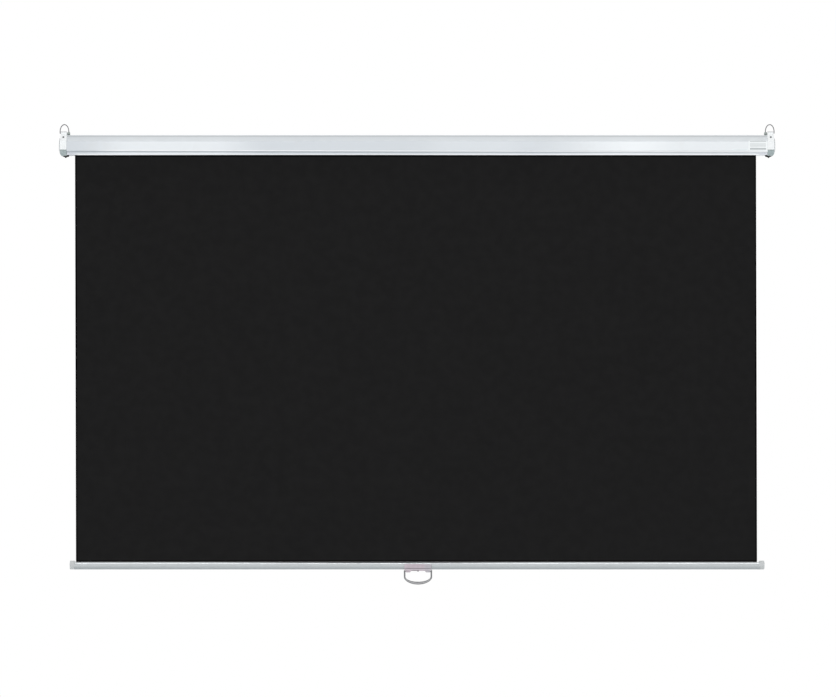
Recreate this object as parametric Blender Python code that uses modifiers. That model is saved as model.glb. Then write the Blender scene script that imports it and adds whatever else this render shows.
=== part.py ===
"""Pull-down projector screen with a spring roller.

Metres, +Z up, X along the width, the front at -Y. The origin is the middle of the case's flat back,
and the screen is drawn down to its full drop.
"""

import math

import bmesh
import bpy
from mathutils import Matrix, Vector

# Fits
GAP = 0.0003  # between pieces that seat on each other
RUN = 0.0004  # round pins and shafts that turn

# Case, a rolled shell that is open along its underside
CASE_SPARE = 0.064  # the case is this much longer than the fabric is wide
CASE_HEIGHT = 0.067
CASE_WALL = 0.0012
CASE_CHAMFER_DEPTH = 0.020
CASE_CHAMFER_HEIGHT = 0.0215
CASE_CORNER = 0.002
LIP_HEIGHT = 0.0083
LIP_SETBACK = 0.0085  # the lip under the front face lies behind it
UNDERCUT_HEIGHT = 0.0060  # of the slope between the front face and the lip
SLOT_FRONT = 0.0030  # opening before and behind the fabric
SLOT_BACK = 0.0075
SLOT_FLANGE = 0.005

# Roller
ROLLER_RADIUS = 0.019
ROLLER_WALL = 0.0012
ROLLER_ROOM = 0.0067  # between the wound fabric and the case's back
ROLLER_RISE = 0.001  # axis above the case's middle
ROLLER_MARGIN_IDLE = 0.0097  # bare tube beyond the fabric
ROLLER_MARGIN_SPRING = 0.0113
GROOVE_WIDTH_TUBE = 0.004
GROOVE_DEPTH_TUBE = 0.003
PLUG_LENGTH = 0.030
PLUG_FLANGE = 0.0037
PLUG_FLANGE_RADIUS = 0.0186

# Fabric
FABRIC_WIDTH = 2.264
FABRIC_SHIFT = -0.0033  # the spring end takes more room than the idle end
FABRIC_INSET = 0.0147  # behind the case's front
FABRIC_THICKNESS = 0.0004
RESERVE_TURNS = 2.25  # turns that stay on the roller
RESERVE_GAP = 0.0004
HEM_RISE = 0.0008  # the hem stands this far out of the bar

# Weight bar
BAR_DROP = 1.3985  # bar centre below the case's middle
BAR_RADIUS = 0.012
BAR_WALL = 0.0013
BAR_SPARE = 0.015  # the bar is this much longer than the fabric is wide
BAR_SLOT = 0.0035
HEM_ROD_RADIUS = 0.003
HEM_ROD_SHORT = 0.002  # the rod ends this far inside the hem
BAR_CAP_RADIUS = 0.0124
BAR_CAP_HUMP = 0.0045  # the cap is taller than it is wide
BAR_CAP_LENGTH = 0.0176
BAR_CAP_SOCKET = 0.003
BAR_CAP_SPIGOT = 0.018

# Pull handle and its clip
HANDLE_X = 0.003  # the clip and handle sit a little right of the middle
CLIP_LENGTH = 0.090
CLIP_WALL = 0.0017
CLIP_REACH = math.radians(30)  # the clip's edges stand this far above the bar's middle
RIDGE_HALF = 0.0412
RIDGE_DEPTH = 0.010
RIDGE_DROP = 0.0165  # below the bar centre
EAR_DROP = 0.0216
EAR_INNER = 0.0225
EAR_SLOPE = 0.0045
BAIL_PIVOT_DROP = 0.0184
BAIL_HALF = 0.0444  # to the middle of a leg
BAIL_LEG = 0.0175
BAIL_HEIGHT = 0.0386  # pivot to the middle of the grip
BAIL_LEG_THICKNESS = 0.0052
BAIL_GRIP_THICKNESS = 0.0095
BAIL_LEG_DEPTH = 0.006
BAIL_GRIP_DEPTH = 0.013
BAIL_RIM = 0.0008
BAIL_CHANNEL = 0.54  # share of the strap's thickness that the channel takes
BAIL_STUB_RADIUS = 0.0016
BAIL_STUB_LENGTH = 0.010
BAIL_EYE_RADIUS = 0.0034
BAIL_STEPS = 22

# End caps. The distance out from the case's end is called u.
CAP_WIDTH = 0.022
CAP_BOSS = 0.004
CAP_PROUD = 0.0015
CAP_WALL = 0.0025
CAP_BOTTOM_EXTRA = 0.0025
CAP_CORNER = 0.004
CAP_FACET_TOP = -0.0155  # the front slopes back under from here
CAP_EDGE = 0.0012
CAP_RIB_PLACES = (0.006, 0.016)
CAP_RIB_WIDTH = 0.0008
CAP_RIB_DEPTH = 0.0005
CAP_SLOPE_TOP = -0.015  # the sloping underside starts here on the boss
CAP_SLOPE_KNEE = (0.0238, -0.0268)  # steepens here
CAP_SLOPE_START = 0.0180  # and ends this far out on the bottom
SLOPE_OVERRUN = 0.3  # share of the slope by which its cutter runs past both ends
BOSS_TOP = 0.020
BOSS_KNEE = 0.006
BOSS_BACK = -0.011
BOSS_SHOULDER = 0.0243  # these two behind the case's front
BOSS_FRONT = 0.009
POCKET_LOW = -0.019  # the deep hollow keeps clear of the slope
TAB_LENGTH = 0.008
TAB_THICKNESS = 0.002
FRONT_TAB = (-0.0140, 0.0112)  # lowest and highest
BACK_TAB = (0.005, 0.020)
FOOT_FRONT = 0.0042  # before and behind the fabric
FOOT_BACK = 0.0093
FOOT_STEM = 0.002
FOOT_STEM_OUT = 0.0048
FOOT_OUTER = 0.0140
FOOT_INNER = -0.0070
FOOT_PROFILE = (
    (-0.0064, 0.0014),
    (-0.0048, 0.0026),
    (0.0008, 0.0032),
    (0.0032, 0.0062),
    (0.0058, 0.0062),
    (0.0082, 0.0034),
    (0.0130, 0.0018),
)

# Hanging rings
TONGUE_TOP = 0.046
TONGUE_DEPTH = 0.016
TONGUE_START = 0.0012
RING_PIVOT_RISE = 0.039
RING_TOP = 0.0695  # middle of the wire at the crown
RING_WIRE = 0.0015
RING_OUTER_LEG = 0.0245
RING_INNER_LEG = -0.0048
RING_STEPS = 22
BARREL_RADIUS = 0.0052
BARREL_END = -0.0088
BARREL_STUB = 0.0017
BARREL_STUB_LENGTH = 0.009

# Screws
SCREW_RADIUS = 0.0015
SCREW_HEAD_RADIUS = 0.0030
SCREW_HEAD_HEIGHT = 0.0018
SCREW_CROWN = (0.7, 0.92)  # shares of the head's radius and height where its top rounds off
SCREW_EDGE = 0.55  # share of the height at which its rim ends
RECESS_WIDTH = 0.0007
RECESS_LENGTH = 0.0034
RECESS_DEPTH = 0.0009
PORT_RADIUS = 0.0034
PORT_BORE = 0.00185
PORT_MOUTH = 0.0016
PORT_TOP = (0.0135, 0.0130)  # behind the case's front and below its top
PORT_BACK = (0.0043, 0.0080)  # before its back and below its middle
SCREW_GRIP = 0.010
FACET_SCREW_Z = 0.0262
FACET_SCREW_OUT = 0.0114
FACET_SCREW_LENGTH = 0.0064
CLIP_SCREW_LENGTH = 0.0095

# Spring motor
SHAFT_RADIUS = 0.004
SHAFT_SHORT = 0.005  # the shaft ends this far inside the cap's outer wall
SHAFT_TAIL = 0.038  # and runs on past the spring's collar
SHAFT_FLAT = 0.005
SHAFT_FLAT_LENGTH = 0.014
SPRING_WIRE = 0.0009
SPRING_RADIUS = 0.012
SPRING_CURLS = 28
SPRING_PITCH = 0.0139
CURL_POINTS = 8
SNOUT_LENGTH = 0.018
COLLAR_RADIUS = 0.0145
COLLAR_WIDTH = 0.006
BUSH_LENGTH = 0.012
BUSH_BORE_RADIUS = 0.0065  # outside of the brass bush in the plug
BUSH_RADIUS = 0.007  # outside of the idle pin's bush
BUSH_START = 0.0045  # out from the case's end
IDLE_SOCKET_RADIUS = 0.0095
IDLE_PIN_DEPTH = 0.020
BRACKET_START = 0.008
BRACKET_THICKNESS = 0.003
BRACKET_SIZE = 0.030
BRACKET_SCREWS = ((-0.010, -0.010), (0.010, -0.010))  # from the roller's axis

# Ratchet. Its teeth stop the roller from turning the fabric up.
TEETH = 8
TOOTH_TIP = 0.011
TOOTH_ROOT = 0.008
RATCHET_WIDTH = 0.004
RATCHET_PLACE = 0.002  # beyond the plug's flange
PAWL_PIVOT = (-0.0125, 0.011)
PAWL_EYE = 0.0026
PAWL_EYE_ARC = (math.radians(60), math.radians(275))
PAWL_PIN = 0.0013
PAWL_PIN_HEAD = 0.0023
PAWL_LIFT = math.radians(18)
PAWL_TIP = 0.0021
PAWL_RELIEF = 0.0012  # the arm clears the next tooth
PAWL_BACK = 0.0009
TOOTH_LAND = 0.08  # of a radian, across a tooth's tip
STOP_RADIUS = 0.0011
PAWL_RUN = 0.00025
STOP_PLACE = (-0.0067, 0.0163)

ROUND = 40
SMALL_ROUND = 16

CASE_LENGTH = FABRIC_WIDTH + CASE_SPARE
CASE_END = CASE_LENGTH / 2
CASE_TOP = CASE_HEIGHT / 2
CASE_BOTTOM = -CASE_HEIGHT / 2
RESERVE_PITCH = FABRIC_THICKNESS + RESERVE_GAP
RESERVE_INNER = ROLLER_RADIUS + GAP + FABRIC_THICKNESS / 2
RESERVE_OUTER = RESERVE_INNER + RESERVE_PITCH * RESERVE_TURNS
CASE_DEPTH = FABRIC_INSET + 2 * RESERVE_OUTER + ROLLER_ROOM
PORT_PLACES = ((PORT_TOP[0] - CASE_DEPTH, CASE_TOP - PORT_TOP[1]), (-PORT_BACK[0], -PORT_BACK[1]))
FABRIC_Y = FABRIC_INSET - CASE_DEPTH
ROLLER_Y = FABRIC_Y + RESERVE_OUTER
ROLLER_Z = ROLLER_RISE
BRACKET_PLACES = [(ROLLER_Y + y, ROLLER_Z + z) for y, z in BRACKET_SCREWS]
FABRIC_LEFT = FABRIC_SHIFT - FABRIC_WIDTH / 2
FABRIC_RIGHT = FABRIC_SHIFT + FABRIC_WIDTH / 2
TUBE_LEFT = FABRIC_LEFT - ROLLER_MARGIN_IDLE
TUBE_RIGHT = FABRIC_RIGHT + ROLLER_MARGIN_SPRING
TUBE_BORE = ROLLER_RADIUS - ROLLER_WALL
FLANGE_LEFT = TUBE_LEFT - GAP - PLUG_FLANGE
FLANGE_RIGHT = TUBE_RIGHT + GAP + PLUG_FLANGE
RATCHET_X = FLANGE_RIGHT + RATCHET_PLACE
BAR_Z = -BAR_DROP
BAR_LENGTH = FABRIC_WIDTH + BAR_SPARE
BAR_END = BAR_LENGTH / 2
HEM_TOP = BAR_Z + BAR_RADIUS + HEM_RISE
HEM_LOOP = HEM_ROD_RADIUS + GAP + FABRIC_THICKNESS
BAR_SLOT_EDGE = math.sqrt((BAR_RADIUS - BAR_WALL) ** 2 - (BAR_SLOT / 2) ** 2)
HEM_ROD_Z = BAR_Z + BAR_SLOT_EDGE - math.sqrt((HEM_LOOP + GAP) ** 2 - (BAR_SLOT / 2) ** 2)
BAIL_PIVOT_Z = BAR_Z - BAIL_PIVOT_DROP
RING_Y = -CASE_DEPTH / 2
CAP_FACE = CASE_END + CAP_WIDTH
SNOUT_RADIUS = SPRING_RADIUS * math.cos(math.pi / CURL_POINTS) - SPRING_WIRE - GAP
SHAFT_RIGHT = CAP_FACE - CAP_WALL - SHAFT_SHORT
SPRING_RIGHT = FLANGE_RIGHT - PLUG_FLANGE - PLUG_LENGTH - 2 * SPRING_WIRE
COLLAR_X = SPRING_RIGHT - SPRING_PITCH * SPRING_CURLS - 2 * SPRING_WIRE
SHAFT_LEFT = COLLAR_X - COLLAR_WIDTH - SHAFT_TAIL

# Local X, Y, Z become world Y, Z, X; X, Z, -Y; or stay as they are.
ALONG = {
    "X": Matrix(((0, 0, 1), (1, 0, 0), (0, 1, 0))).to_4x4(),
    "Y": Matrix(((1, 0, 0), (0, 0, -1), (0, 1, 0))).to_4x4(),
    "Z": Matrix.Identity(4),
}

COLOURS = {
    "white_paint": ((0.80, 0.83, 0.85), 0.35, 0.0),
    "white_plastic": ((0.85, 0.87, 0.87), 0.45, 0.0),
    "grey_plastic": ((0.62, 0.63, 0.63), 0.45, 0.0),
    "clip_plastic": ((0.45, 0.41, 0.44), 0.40, 0.0),
    "black_rubber": ((0.02, 0.02, 0.02), 0.70, 0.0),
    "black_fabric": ((0.014, 0.014, 0.014), 0.90, 0.0),
    "bar_metal": ((0.55, 0.57, 0.58), 0.35, 0.6),
    "steel": ((0.45, 0.46, 0.48), 0.35, 1.0),
    "dark_steel": ((0.08, 0.08, 0.09), 0.45, 1.0),
    "nylon": ((0.80, 0.79, 0.74), 0.50, 0.0),
    "brass": ((0.70, 0.52, 0.24), 0.35, 1.0),
}


def clear_scene():
    for old in list(bpy.data.objects):
        bpy.data.objects.remove(old, do_unlink=True)


def make_collection(name):
    made = bpy.data.collections.new(name)
    bpy.context.scene.collection.children.link(made)
    return made


def make_material(name):
    colour, roughness, metallic = COLOURS[name]
    material = bpy.data.materials.get(name) or bpy.data.materials.new(name)
    material.use_nodes = True
    shader = material.node_tree.nodes["Principled BSDF"]
    shader.inputs["Base Color"].default_value = (*colour, 1.0)
    shader.inputs["Roughness"].default_value = roughness
    shader.inputs["Metallic"].default_value = metallic
    return material


def add_object(name, mesh, smooth=30):
    """A mesh object in the parts' collection, smooth but for edges sharper than so many degrees."""
    mesh.shade_smooth()
    mesh.set_sharp_from_angle(angle=math.radians(smooth))
    made = bpy.data.objects.new(name, mesh)
    PARTS.objects.link(made)
    return made


def paint(part, material):
    part.data.materials.clear()
    part.data.materials.append(make_material(material))
    return part


def as_helper(part):
    """Moves a cutter, or a piece that is joined to another, out of the parts."""
    PARTS.objects.unlink(part)
    HELPERS.objects.link(part)
    part.hide_render = True
    part.display_type = "WIRE"
    return part


def combine(part, other, operation):
    step = part.modifiers.new(operation.lower(), "BOOLEAN")
    step.operation = operation
    step.solver = "EXACT"
    step.object = as_helper(other)
    return part


def cut(part, *others):
    for other in others:
        combine(part, other, "DIFFERENCE")
    return part


def join(part, *others):
    for other in others:
        combine(part, other, "UNION")
    return part


def handed(part, side):
    """Mirrors a mesh about X = 0 for the left end."""
    if side < 0:
        part.data.transform(Matrix.Diagonal((-1, 1, 1, 1)))
        part.data.flip_normals()
    return part


def mesh_of(curve_object, name):
    """The curve's mesh in world space, with its caps welded on."""
    bpy.context.view_layer.update()
    graph = bpy.context.evaluated_depsgraph_get()
    mesh = bpy.data.meshes.new_from_object(curve_object.evaluated_get(graph))
    mesh.transform(curve_object.matrix_world)
    shape = bmesh.new()
    shape.from_mesh(mesh)
    bmesh.ops.remove_doubles(shape, verts=shape.verts, dist=1e-6)
    shape.to_mesh(mesh)
    shape.free()
    bpy.data.objects.remove(curve_object, do_unlink=True)
    return add_object(name, mesh)


def prism(name, outlines, start, end, axis="X", centre=(0, 0)):
    """Flat outlines, the second and later ones being holes, extruded between two places on an axis.

    The outline's two numbers are Y and Z along X, X and Z along Y, and X and Y along Z.
    """
    curve = bpy.data.curves.new(name, "CURVE")
    curve.dimensions = "2D"
    curve.fill_mode = "BOTH"
    curve.extrude = abs(end - start) / 2
    for outline in outlines:
        spline = curve.splines.new("POLY")
        spline.points.add(len(outline) - 1)
        for point, (a, b) in zip(spline.points, outline):
            point.co = (a + centre[0], b + centre[1], 0, 1)
        spline.use_cyclic_u = True
    made = bpy.data.objects.new(name, curve)
    bpy.context.scene.collection.objects.link(made)
    middle = (start + end) / 2
    depth = -middle if axis == "Y" else middle
    made.matrix_world = ALONG[axis] @ Matrix.Translation((0, 0, depth))
    return mesh_of(made, name)


def turned(name, profile, origin, steps=ROUND, closed=False, axis="X"):
    """A profile of (radius, height) points turned about an axis through origin.

    It runs down the outer side from the greatest height; a closed one comes back up the bore.
    """
    shape = bmesh.new()
    points = [shape.verts.new((radius, 0, height)) for radius, height in profile]
    for first, second in zip(points, points[1:]):
        shape.edges.new((first, second))
    if closed:
        shape.edges.new((points[-1], points[0]))
    mesh = bpy.data.meshes.new(name)
    shape.to_mesh(mesh)
    shape.free()
    made = add_object(name, mesh)
    made.matrix_world = Matrix.Translation(origin) @ ALONG[axis]
    screw = made.modifiers.new("turn", "SCREW")
    screw.axis = "Z"
    screw.angle = math.tau
    screw.steps = steps
    screw.render_steps = steps
    screw.use_merge_vertices = True
    screw.merge_threshold = 1e-6
    screw.use_smooth_shade = True
    return made


def rod(name, radius, start, end, centre, steps=SMALL_ROUND, axis="X"):
    """A plain cylinder between two places on an axis."""
    shape = bmesh.new()
    bmesh.ops.create_cone(
        shape, cap_ends=True, segments=steps, radius1=radius, radius2=radius, depth=abs(end - start)
    )
    mesh = bpy.data.meshes.new(name)
    shape.to_mesh(mesh)
    shape.free()
    middle = (start + end) / 2
    place = {
        "X": (middle, centre[0], centre[1]),
        "Y": (centre[0], middle, centre[1]),
        "Z": (centre[0], centre[1], middle),
    }[axis]
    mesh.transform(Matrix.Translation(place) @ ALONG[axis])
    return add_object(name, mesh)


def shifted(part):
    """Moves a mesh beside the middle, to where the clip and handle sit."""
    part.data.transform(Matrix.Translation((HANDLE_X, 0, 0)))
    return part


def block(name, low, high):
    """A box between two corners."""
    shape = bmesh.new()
    bmesh.ops.create_cube(shape, size=1)
    mesh = bpy.data.meshes.new(name)
    shape.to_mesh(mesh)
    shape.free()
    size = Vector(high) - Vector(low)
    middle = (Vector(high) + Vector(low)) / 2
    mesh.transform(Matrix.Translation(middle) @ Matrix.Diagonal((*size, 1)))
    return add_object(name, mesh)


def wire(name, points, radius, resolution=1):
    """A round wire along a list of points."""
    curve = bpy.data.curves.new(name, "CURVE")
    curve.dimensions = "3D"
    curve.bevel_depth = radius
    curve.bevel_resolution = resolution
    curve.use_fill_caps = True
    spline = curve.splines.new("POLY")
    spline.points.add(len(points) - 1)
    for point, place in zip(spline.points, points):
        point.co = (*place, 1)
    made = bpy.data.objects.new(name, curve)
    bpy.context.scene.collection.objects.link(made)
    return mesh_of(made, name)


def loft(name, rings):
    """A closed skin through rings with the same number of points, with flat ends."""
    shape = bmesh.new()
    rows = [[shape.verts.new(point) for point in ring] for ring in rings]
    count = len(rows[0])
    for first, second in zip(rows, rows[1:]):
        for i in range(count):
            j = (i + 1) % count
            shape.faces.new((first[i], first[j], second[j], second[i]))
    shape.faces.new(list(reversed(rows[0])))
    shape.faces.new(rows[-1])
    bmesh.ops.recalc_face_normals(shape, faces=shape.faces)
    mesh = bpy.data.meshes.new(name)
    shape.to_mesh(mesh)
    shape.free()
    return add_object(name, mesh)


def circle(radius, steps=ROUND, centre=(0, 0)):
    return arc(radius, 0, math.tau, steps, centre)[:-1]


def arc(radius, start, end, steps, centre=(0, 0)):
    """Points from one angle to another, both ends included."""
    angles = [start + (end - start) * i / steps for i in range(steps + 1)]
    return [(centre[0] + radius * math.cos(a), centre[1] + radius * math.sin(a)) for a in angles]


def rounded(corners, closed=True, steps=3):
    """An outline from (a, b, radius) corners, each radius a round of so many steps."""
    outline = []
    count = len(corners)
    for i, (a, b, radius) in enumerate(corners):
        here = Vector((a, b))
        inner = closed or 0 < i < count - 1
        if radius == 0 or not inner:
            outline.append((a, b))
            continue
        back = (Vector(corners[i - 1][:2]) - here).normalized()
        ahead = (Vector(corners[(i + 1) % count][:2]) - here).normalized()
        half = back.angle(ahead) / 2
        reach = radius / math.tan(half)
        centre = here + (back + ahead).normalized() * radius / math.sin(half)
        first = here + back * reach - centre
        last = here + ahead * reach - centre
        sweep = first.angle_signed(last)
        for k in range(steps + 1):
            turn = Matrix.Rotation(-sweep * k / steps, 2)
            point = centre + turn @ first
            outline.append((point.x, point.y))
    return outline


def inset(corners, distance):
    """Moves each side of a convex outline of (a, b, radius) corners inwards."""
    count = len(corners)
    area = sum(
        corners[i][0] * corners[(i + 1) % count][1] - corners[(i + 1) % count][0] * corners[i][1]
        for i in range(count)
    )
    turn = 1 if area > 0 else -1
    lines = []
    for i in range(count):
        start = Vector(corners[i][:2])
        way = (Vector(corners[(i + 1) % count][:2]) - start).normalized()
        normal = Vector((-way.y, way.x)) * turn
        lines.append((start + normal * distance, way))
    moved = []
    for i in range(count):
        (p, u), (q, v) = lines[i - 1], lines[i]
        share = (q - p).cross(v) / u.cross(v)
        point = p + u * share
        moved.append((point.x, point.y, max(corners[i][2] - distance, 0.0005)))
    return moved


def out(u):
    """X at a distance out from the right end of the case."""
    return CASE_END + u


def skin_along_x(name, corners, stations):
    """A rounded outline carried along X through (x, inset) stations."""
    return loft(name, [[(x, y, z) for y, z in rounded(inset(corners, d))] for x, d in stations])


def c_band(radius, bore, mouth, facing, centre=(0, 0), steps=ROUND):
    """Section of a tube that is slit towards one direction."""
    outer = math.asin(mouth / 2 / radius)
    inner = math.asin(mouth / 2 / bore)
    return arc(radius, facing + outer, facing + math.tau - outer, steps, centre) + arc(
        bore, facing + math.tau - inner, facing + inner, steps, centre
    )


def pan_screw(name, origin, length, steps=SMALL_ROUND, side=1, axis="X"):
    """A pan-head screw whose head stands at the positive end of its axis, seated at origin."""
    top = SCREW_HEAD_HEIGHT
    profile = [
        (0, top),
        (SCREW_HEAD_RADIUS * SCREW_CROWN[0], top * SCREW_CROWN[1]),
        (SCREW_HEAD_RADIUS, top * SCREW_EDGE),
        (SCREW_HEAD_RADIUS, 0),
        (SCREW_RADIUS, 0),
        (SCREW_RADIUS, -length + SCREW_RADIUS),
        (0, -length),
    ]
    made = turned(name, profile, origin, steps, axis=axis)
    if side < 0:
        made.matrix_world = Matrix.Translation(origin) @ Matrix.Rotation(math.pi, 4, "Z") @ ALONG[axis]
    for half in ((RECESS_LENGTH / 2, RECESS_WIDTH / 2), (RECESS_WIDTH / 2, RECESS_LENGTH / 2)):
        slot = block("recess", (-half[0], -half[1], top - RECESS_DEPTH), (*half, top + RECESS_DEPTH))
        slot.parent = made
        cut(made, slot)
    return made


# Case


def make_case_housing():
    front = -CASE_DEPTH
    lip = front + LIP_SETBACK
    lip_top = CASE_BOTTOM + LIP_HEIGHT
    fold = CASE_WALL + GAP
    path = rounded(
        [
            (FABRIC_Y - SLOT_FRONT, CASE_BOTTOM + SLOT_FLANGE, 0),
            (FABRIC_Y - SLOT_FRONT, CASE_BOTTOM, fold),
            (lip, CASE_BOTTOM, fold),
            (lip, lip_top, CASE_CORNER / 2),
            (front, lip_top + UNDERCUT_HEIGHT, CASE_CORNER),
            (front, CASE_TOP - CASE_CHAMFER_HEIGHT, CASE_CORNER),
            (front + CASE_CHAMFER_DEPTH, CASE_TOP, CASE_CORNER),
            (0, CASE_TOP, CASE_CORNER),
            (0, CASE_BOTTOM, CASE_CORNER),
            (FABRIC_Y + SLOT_BACK, CASE_BOTTOM, fold),
            (FABRIC_Y + SLOT_BACK, CASE_BOTTOM + SLOT_FLANGE, 0),
        ],
        closed=False,
    )
    shape = bmesh.new()
    rows = [[shape.verts.new((x, y, z)) for x in (-CASE_END, CASE_END)] for y, z in path]
    for first, second in zip(rows, rows[1:]):
        shape.faces.new((first[0], first[1], second[1], second[0]))
    mesh = bpy.data.meshes.new("case_housing")
    shape.to_mesh(mesh)
    shape.free()
    case = add_object("case_housing", mesh)
    wall = case.modifiers.new("wall", "SOLIDIFY")
    wall.thickness = CASE_WALL
    wall.offset = -1
    wall.use_even_offset = True
    for number, (y, z) in enumerate(PORT_PLACES):
        facing = math.atan2(ROLLER_Z - z, ROLLER_Y - y)
        section = c_band(PORT_RADIUS, PORT_BORE, PORT_MOUTH, facing, (y, z), SMALL_ROUND)
        join(case, prism(f"screw_port_{number}", [section], -CASE_END, CASE_END))
    return paint(case, "white_paint")


# End caps


def cap_corners():
    front = -CASE_DEPTH - CAP_PROUD
    top = CASE_TOP + CAP_PROUD
    bottom = CASE_BOTTOM - CAP_BOTTOM_EXTRA
    return [
        (0, bottom, CAP_CORNER / 2),
        (0, top, CAP_CORNER / 2),
        (-CASE_DEPTH + CASE_CHAMFER_DEPTH - CAP_PROUD / 2, top, CAP_CORNER),
        (front, CASE_TOP - CASE_CHAMFER_HEIGHT + CAP_PROUD / 2, CAP_CORNER),
        (front, CAP_FACET_TOP, CAP_CORNER / 2),
        (-CASE_DEPTH + LIP_SETBACK + CAP_PROUD / 2, bottom, CAP_CORNER / 2),
    ]


def facet_place(z):
    """A point on the cap's sloping facet, and the facet's outward direction in Y and Z."""
    (y1, z1, _), (y2, z2, _) = cap_corners()[2:4]
    share = (z1 - z) / (z1 - z2)
    way = Vector((y2 - y1, z2 - z1)).normalized()
    return (y1 + (y2 - y1) * share, z), Vector((way.y, -way.x))


def facet_turn():
    """Turns local Z from +X onto the facet's outward direction."""
    _, normal = facet_place(FACET_SCREW_Z)
    return Matrix.Rotation(math.atan2(normal.y, normal.x) - math.pi / 2, 4, "X")


def cap_tabs():
    """The tongues that locate the right cap inside the case."""
    front = -CASE_DEPTH + CASE_WALL + GAP
    back = -CASE_WALL - GAP
    start = out(-TAB_LENGTH)
    end = out(CAP_WALL)
    low, high = FRONT_TAB
    return [
        block("front_tab", (start, front, low), (end, front + TAB_THICKNESS, high)),
        block("front_root", (out(GAP), -CASE_DEPTH, low), (end, front + TAB_THICKNESS / 2, high)),
        block("back_tab", (start, back - TAB_THICKNESS, BACK_TAB[0]), (end, back, BACK_TAB[1])),
    ]


def make_end_cap(name, side):
    corners = cap_corners()
    stations = [(out(GAP), CAP_EDGE / 2), (out(GAP + CAP_EDGE / 2), 0)]
    for place in CAP_RIB_PLACES:
        stations += [
            (out(place - CAP_RIB_WIDTH), 0),
            (out(place - CAP_RIB_WIDTH / 2), CAP_RIB_DEPTH),
            (out(place + CAP_RIB_WIDTH / 2), CAP_RIB_DEPTH),
            (out(place + CAP_RIB_WIDTH), 0),
        ]
    stations += [(out(CAP_WIDTH - CAP_EDGE), 0), (out(CAP_WIDTH), CAP_EDGE)]
    cap = skin_along_x(name, corners, stations)

    boss_low = CAP_SLOPE_TOP * 2
    boss_corners = [
        (BOSS_BACK, boss_low, CAP_CORNER),
        (BOSS_BACK, BOSS_TOP, CAP_CORNER),
        (BOSS_SHOULDER - CASE_DEPTH, BOSS_TOP, CAP_CORNER),
        (BOSS_FRONT - CASE_DEPTH, BOSS_KNEE, CAP_CORNER),
        (BOSS_FRONT - CASE_DEPTH, boss_low, CAP_CORNER),
    ]
    boss_end = out(CAP_WIDTH + CAP_BOSS)
    boss_stations = [(out(CAP_WIDTH - CAP_WALL), 0), (boss_end - CAP_EDGE, 0), (boss_end, CAP_EDGE)]
    boss = skin_along_x("boss", boss_corners, boss_stations)
    tongue_outline = rounded(
        [
            (out(TONGUE_START), BOSS_TOP, 0),
            (out(CAP_WIDTH), BOSS_TOP, 0),
            (out(CAP_WIDTH), TONGUE_TOP, CAP_CORNER / 2),
            (out(TONGUE_START), TONGUE_TOP, CAP_CORNER / 2),
        ]
    )
    tongue = prism("tongue", [tongue_outline], RING_Y - TONGUE_DEPTH / 2, RING_Y + TONGUE_DEPTH / 2, "Y")

    slope_low = CASE_BOTTOM - CAP_BOTTOM_EXTRA
    start = Vector((out(CAP_SLOPE_START), slope_low))
    knee = Vector((out(CAP_SLOPE_KNEE[0]), CAP_SLOPE_KNEE[1]))
    end = Vector((boss_end, CAP_SLOPE_TOP))
    low_end = start + (start - knee) * SLOPE_OVERRUN
    high_end = end + (end - knee) * SLOPE_OVERRUN
    beyond = high_end.x + CAP_WIDTH
    wedge_outline = [low_end, knee, high_end, (beyond, high_end.y), (beyond, low_end.y)]
    wedge = prism("slope_cut", [wedge_outline], -2 * CASE_DEPTH, CASE_DEPTH, "Y")

    shallow = rounded(inset(corners, CAP_WALL))
    deep = rounded(inset([(y, max(z, POCKET_LOW), r) for y, z, r in corners], CAP_WALL))
    hollow = prism("shallow_hollow", [shallow], out(-CAP_WALL), out(CAP_WIDTH / 2))
    pocket = prism("deep_hollow", [deep], out(-CAP_WALL), out(CAP_WIDTH - CAP_WALL))
    floor = out(CAP_WIDTH - CAP_WALL / 2)

    fills = [rod(f"pillar_{n}", PORT_RADIUS, out(GAP), floor, place) for n, place in enumerate(PORT_PLACES)]
    fills += cap_tabs()
    (facet_y, facet_z), normal = facet_place(FACET_SCREW_Z)
    on_facet = Matrix.Translation((out(FACET_SCREW_OUT), facet_y, facet_z)) @ facet_turn()
    post_top = -CAP_WALL / 2
    facet_post = rod("facet_post", PORT_RADIUS, post_top - FACET_SCREW_LENGTH, post_top, (0, 0), axis="Z")
    facet_post.data.transform(on_facet)
    fills.append(facet_post)

    wide = SCREW_RADIUS + GAP
    past = out(CAP_WIDTH + CAP_WALL)
    bores = [rod(f"bore_{n}", wide, out(-CAP_WALL), past, place) for n, place in enumerate(PORT_PLACES)]
    bores.append(rod("ring_bore", BARREL_STUB + RUN, out(0), past, (RING_Y, RING_PIVOT_RISE)))
    foot_place = (out(FOOT_STEM_OUT), FABRIC_Y)
    foot_low = slope_low - CAP_WALL
    bores.append(rod("foot_bore", FOOT_STEM + GAP, foot_low, foot_low + 3 * CAP_WALL, foot_place, axis="Z"))
    facet_bore = rod("facet_bore", wide, -FACET_SCREW_LENGTH - GAP, CAP_WALL, (0, 0), axis="Z")
    facet_bore.data.transform(on_facet)
    bores.append(facet_bore)

    if side < 0:
        centre = (ROLLER_Y, ROLLER_Z)
        socket = [circle(IDLE_SOCKET_RADIUS, ROUND, centre), circle(BUSH_RADIUS + GAP, ROUND, centre)]
        fills.append(prism("bush_socket", socket, out(BUSH_START), floor))
    else:
        seat = out(BRACKET_START + BRACKET_THICKNESS + GAP)
        for n, place in enumerate(BRACKET_PLACES):
            fills.append(rod(f"bracket_post_{n}", PORT_RADIUS, seat, floor, place))
            bores.append(rod(f"bracket_bore_{n}", wide, out(0), out(CAP_WIDTH - CAP_WALL), place))

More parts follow.
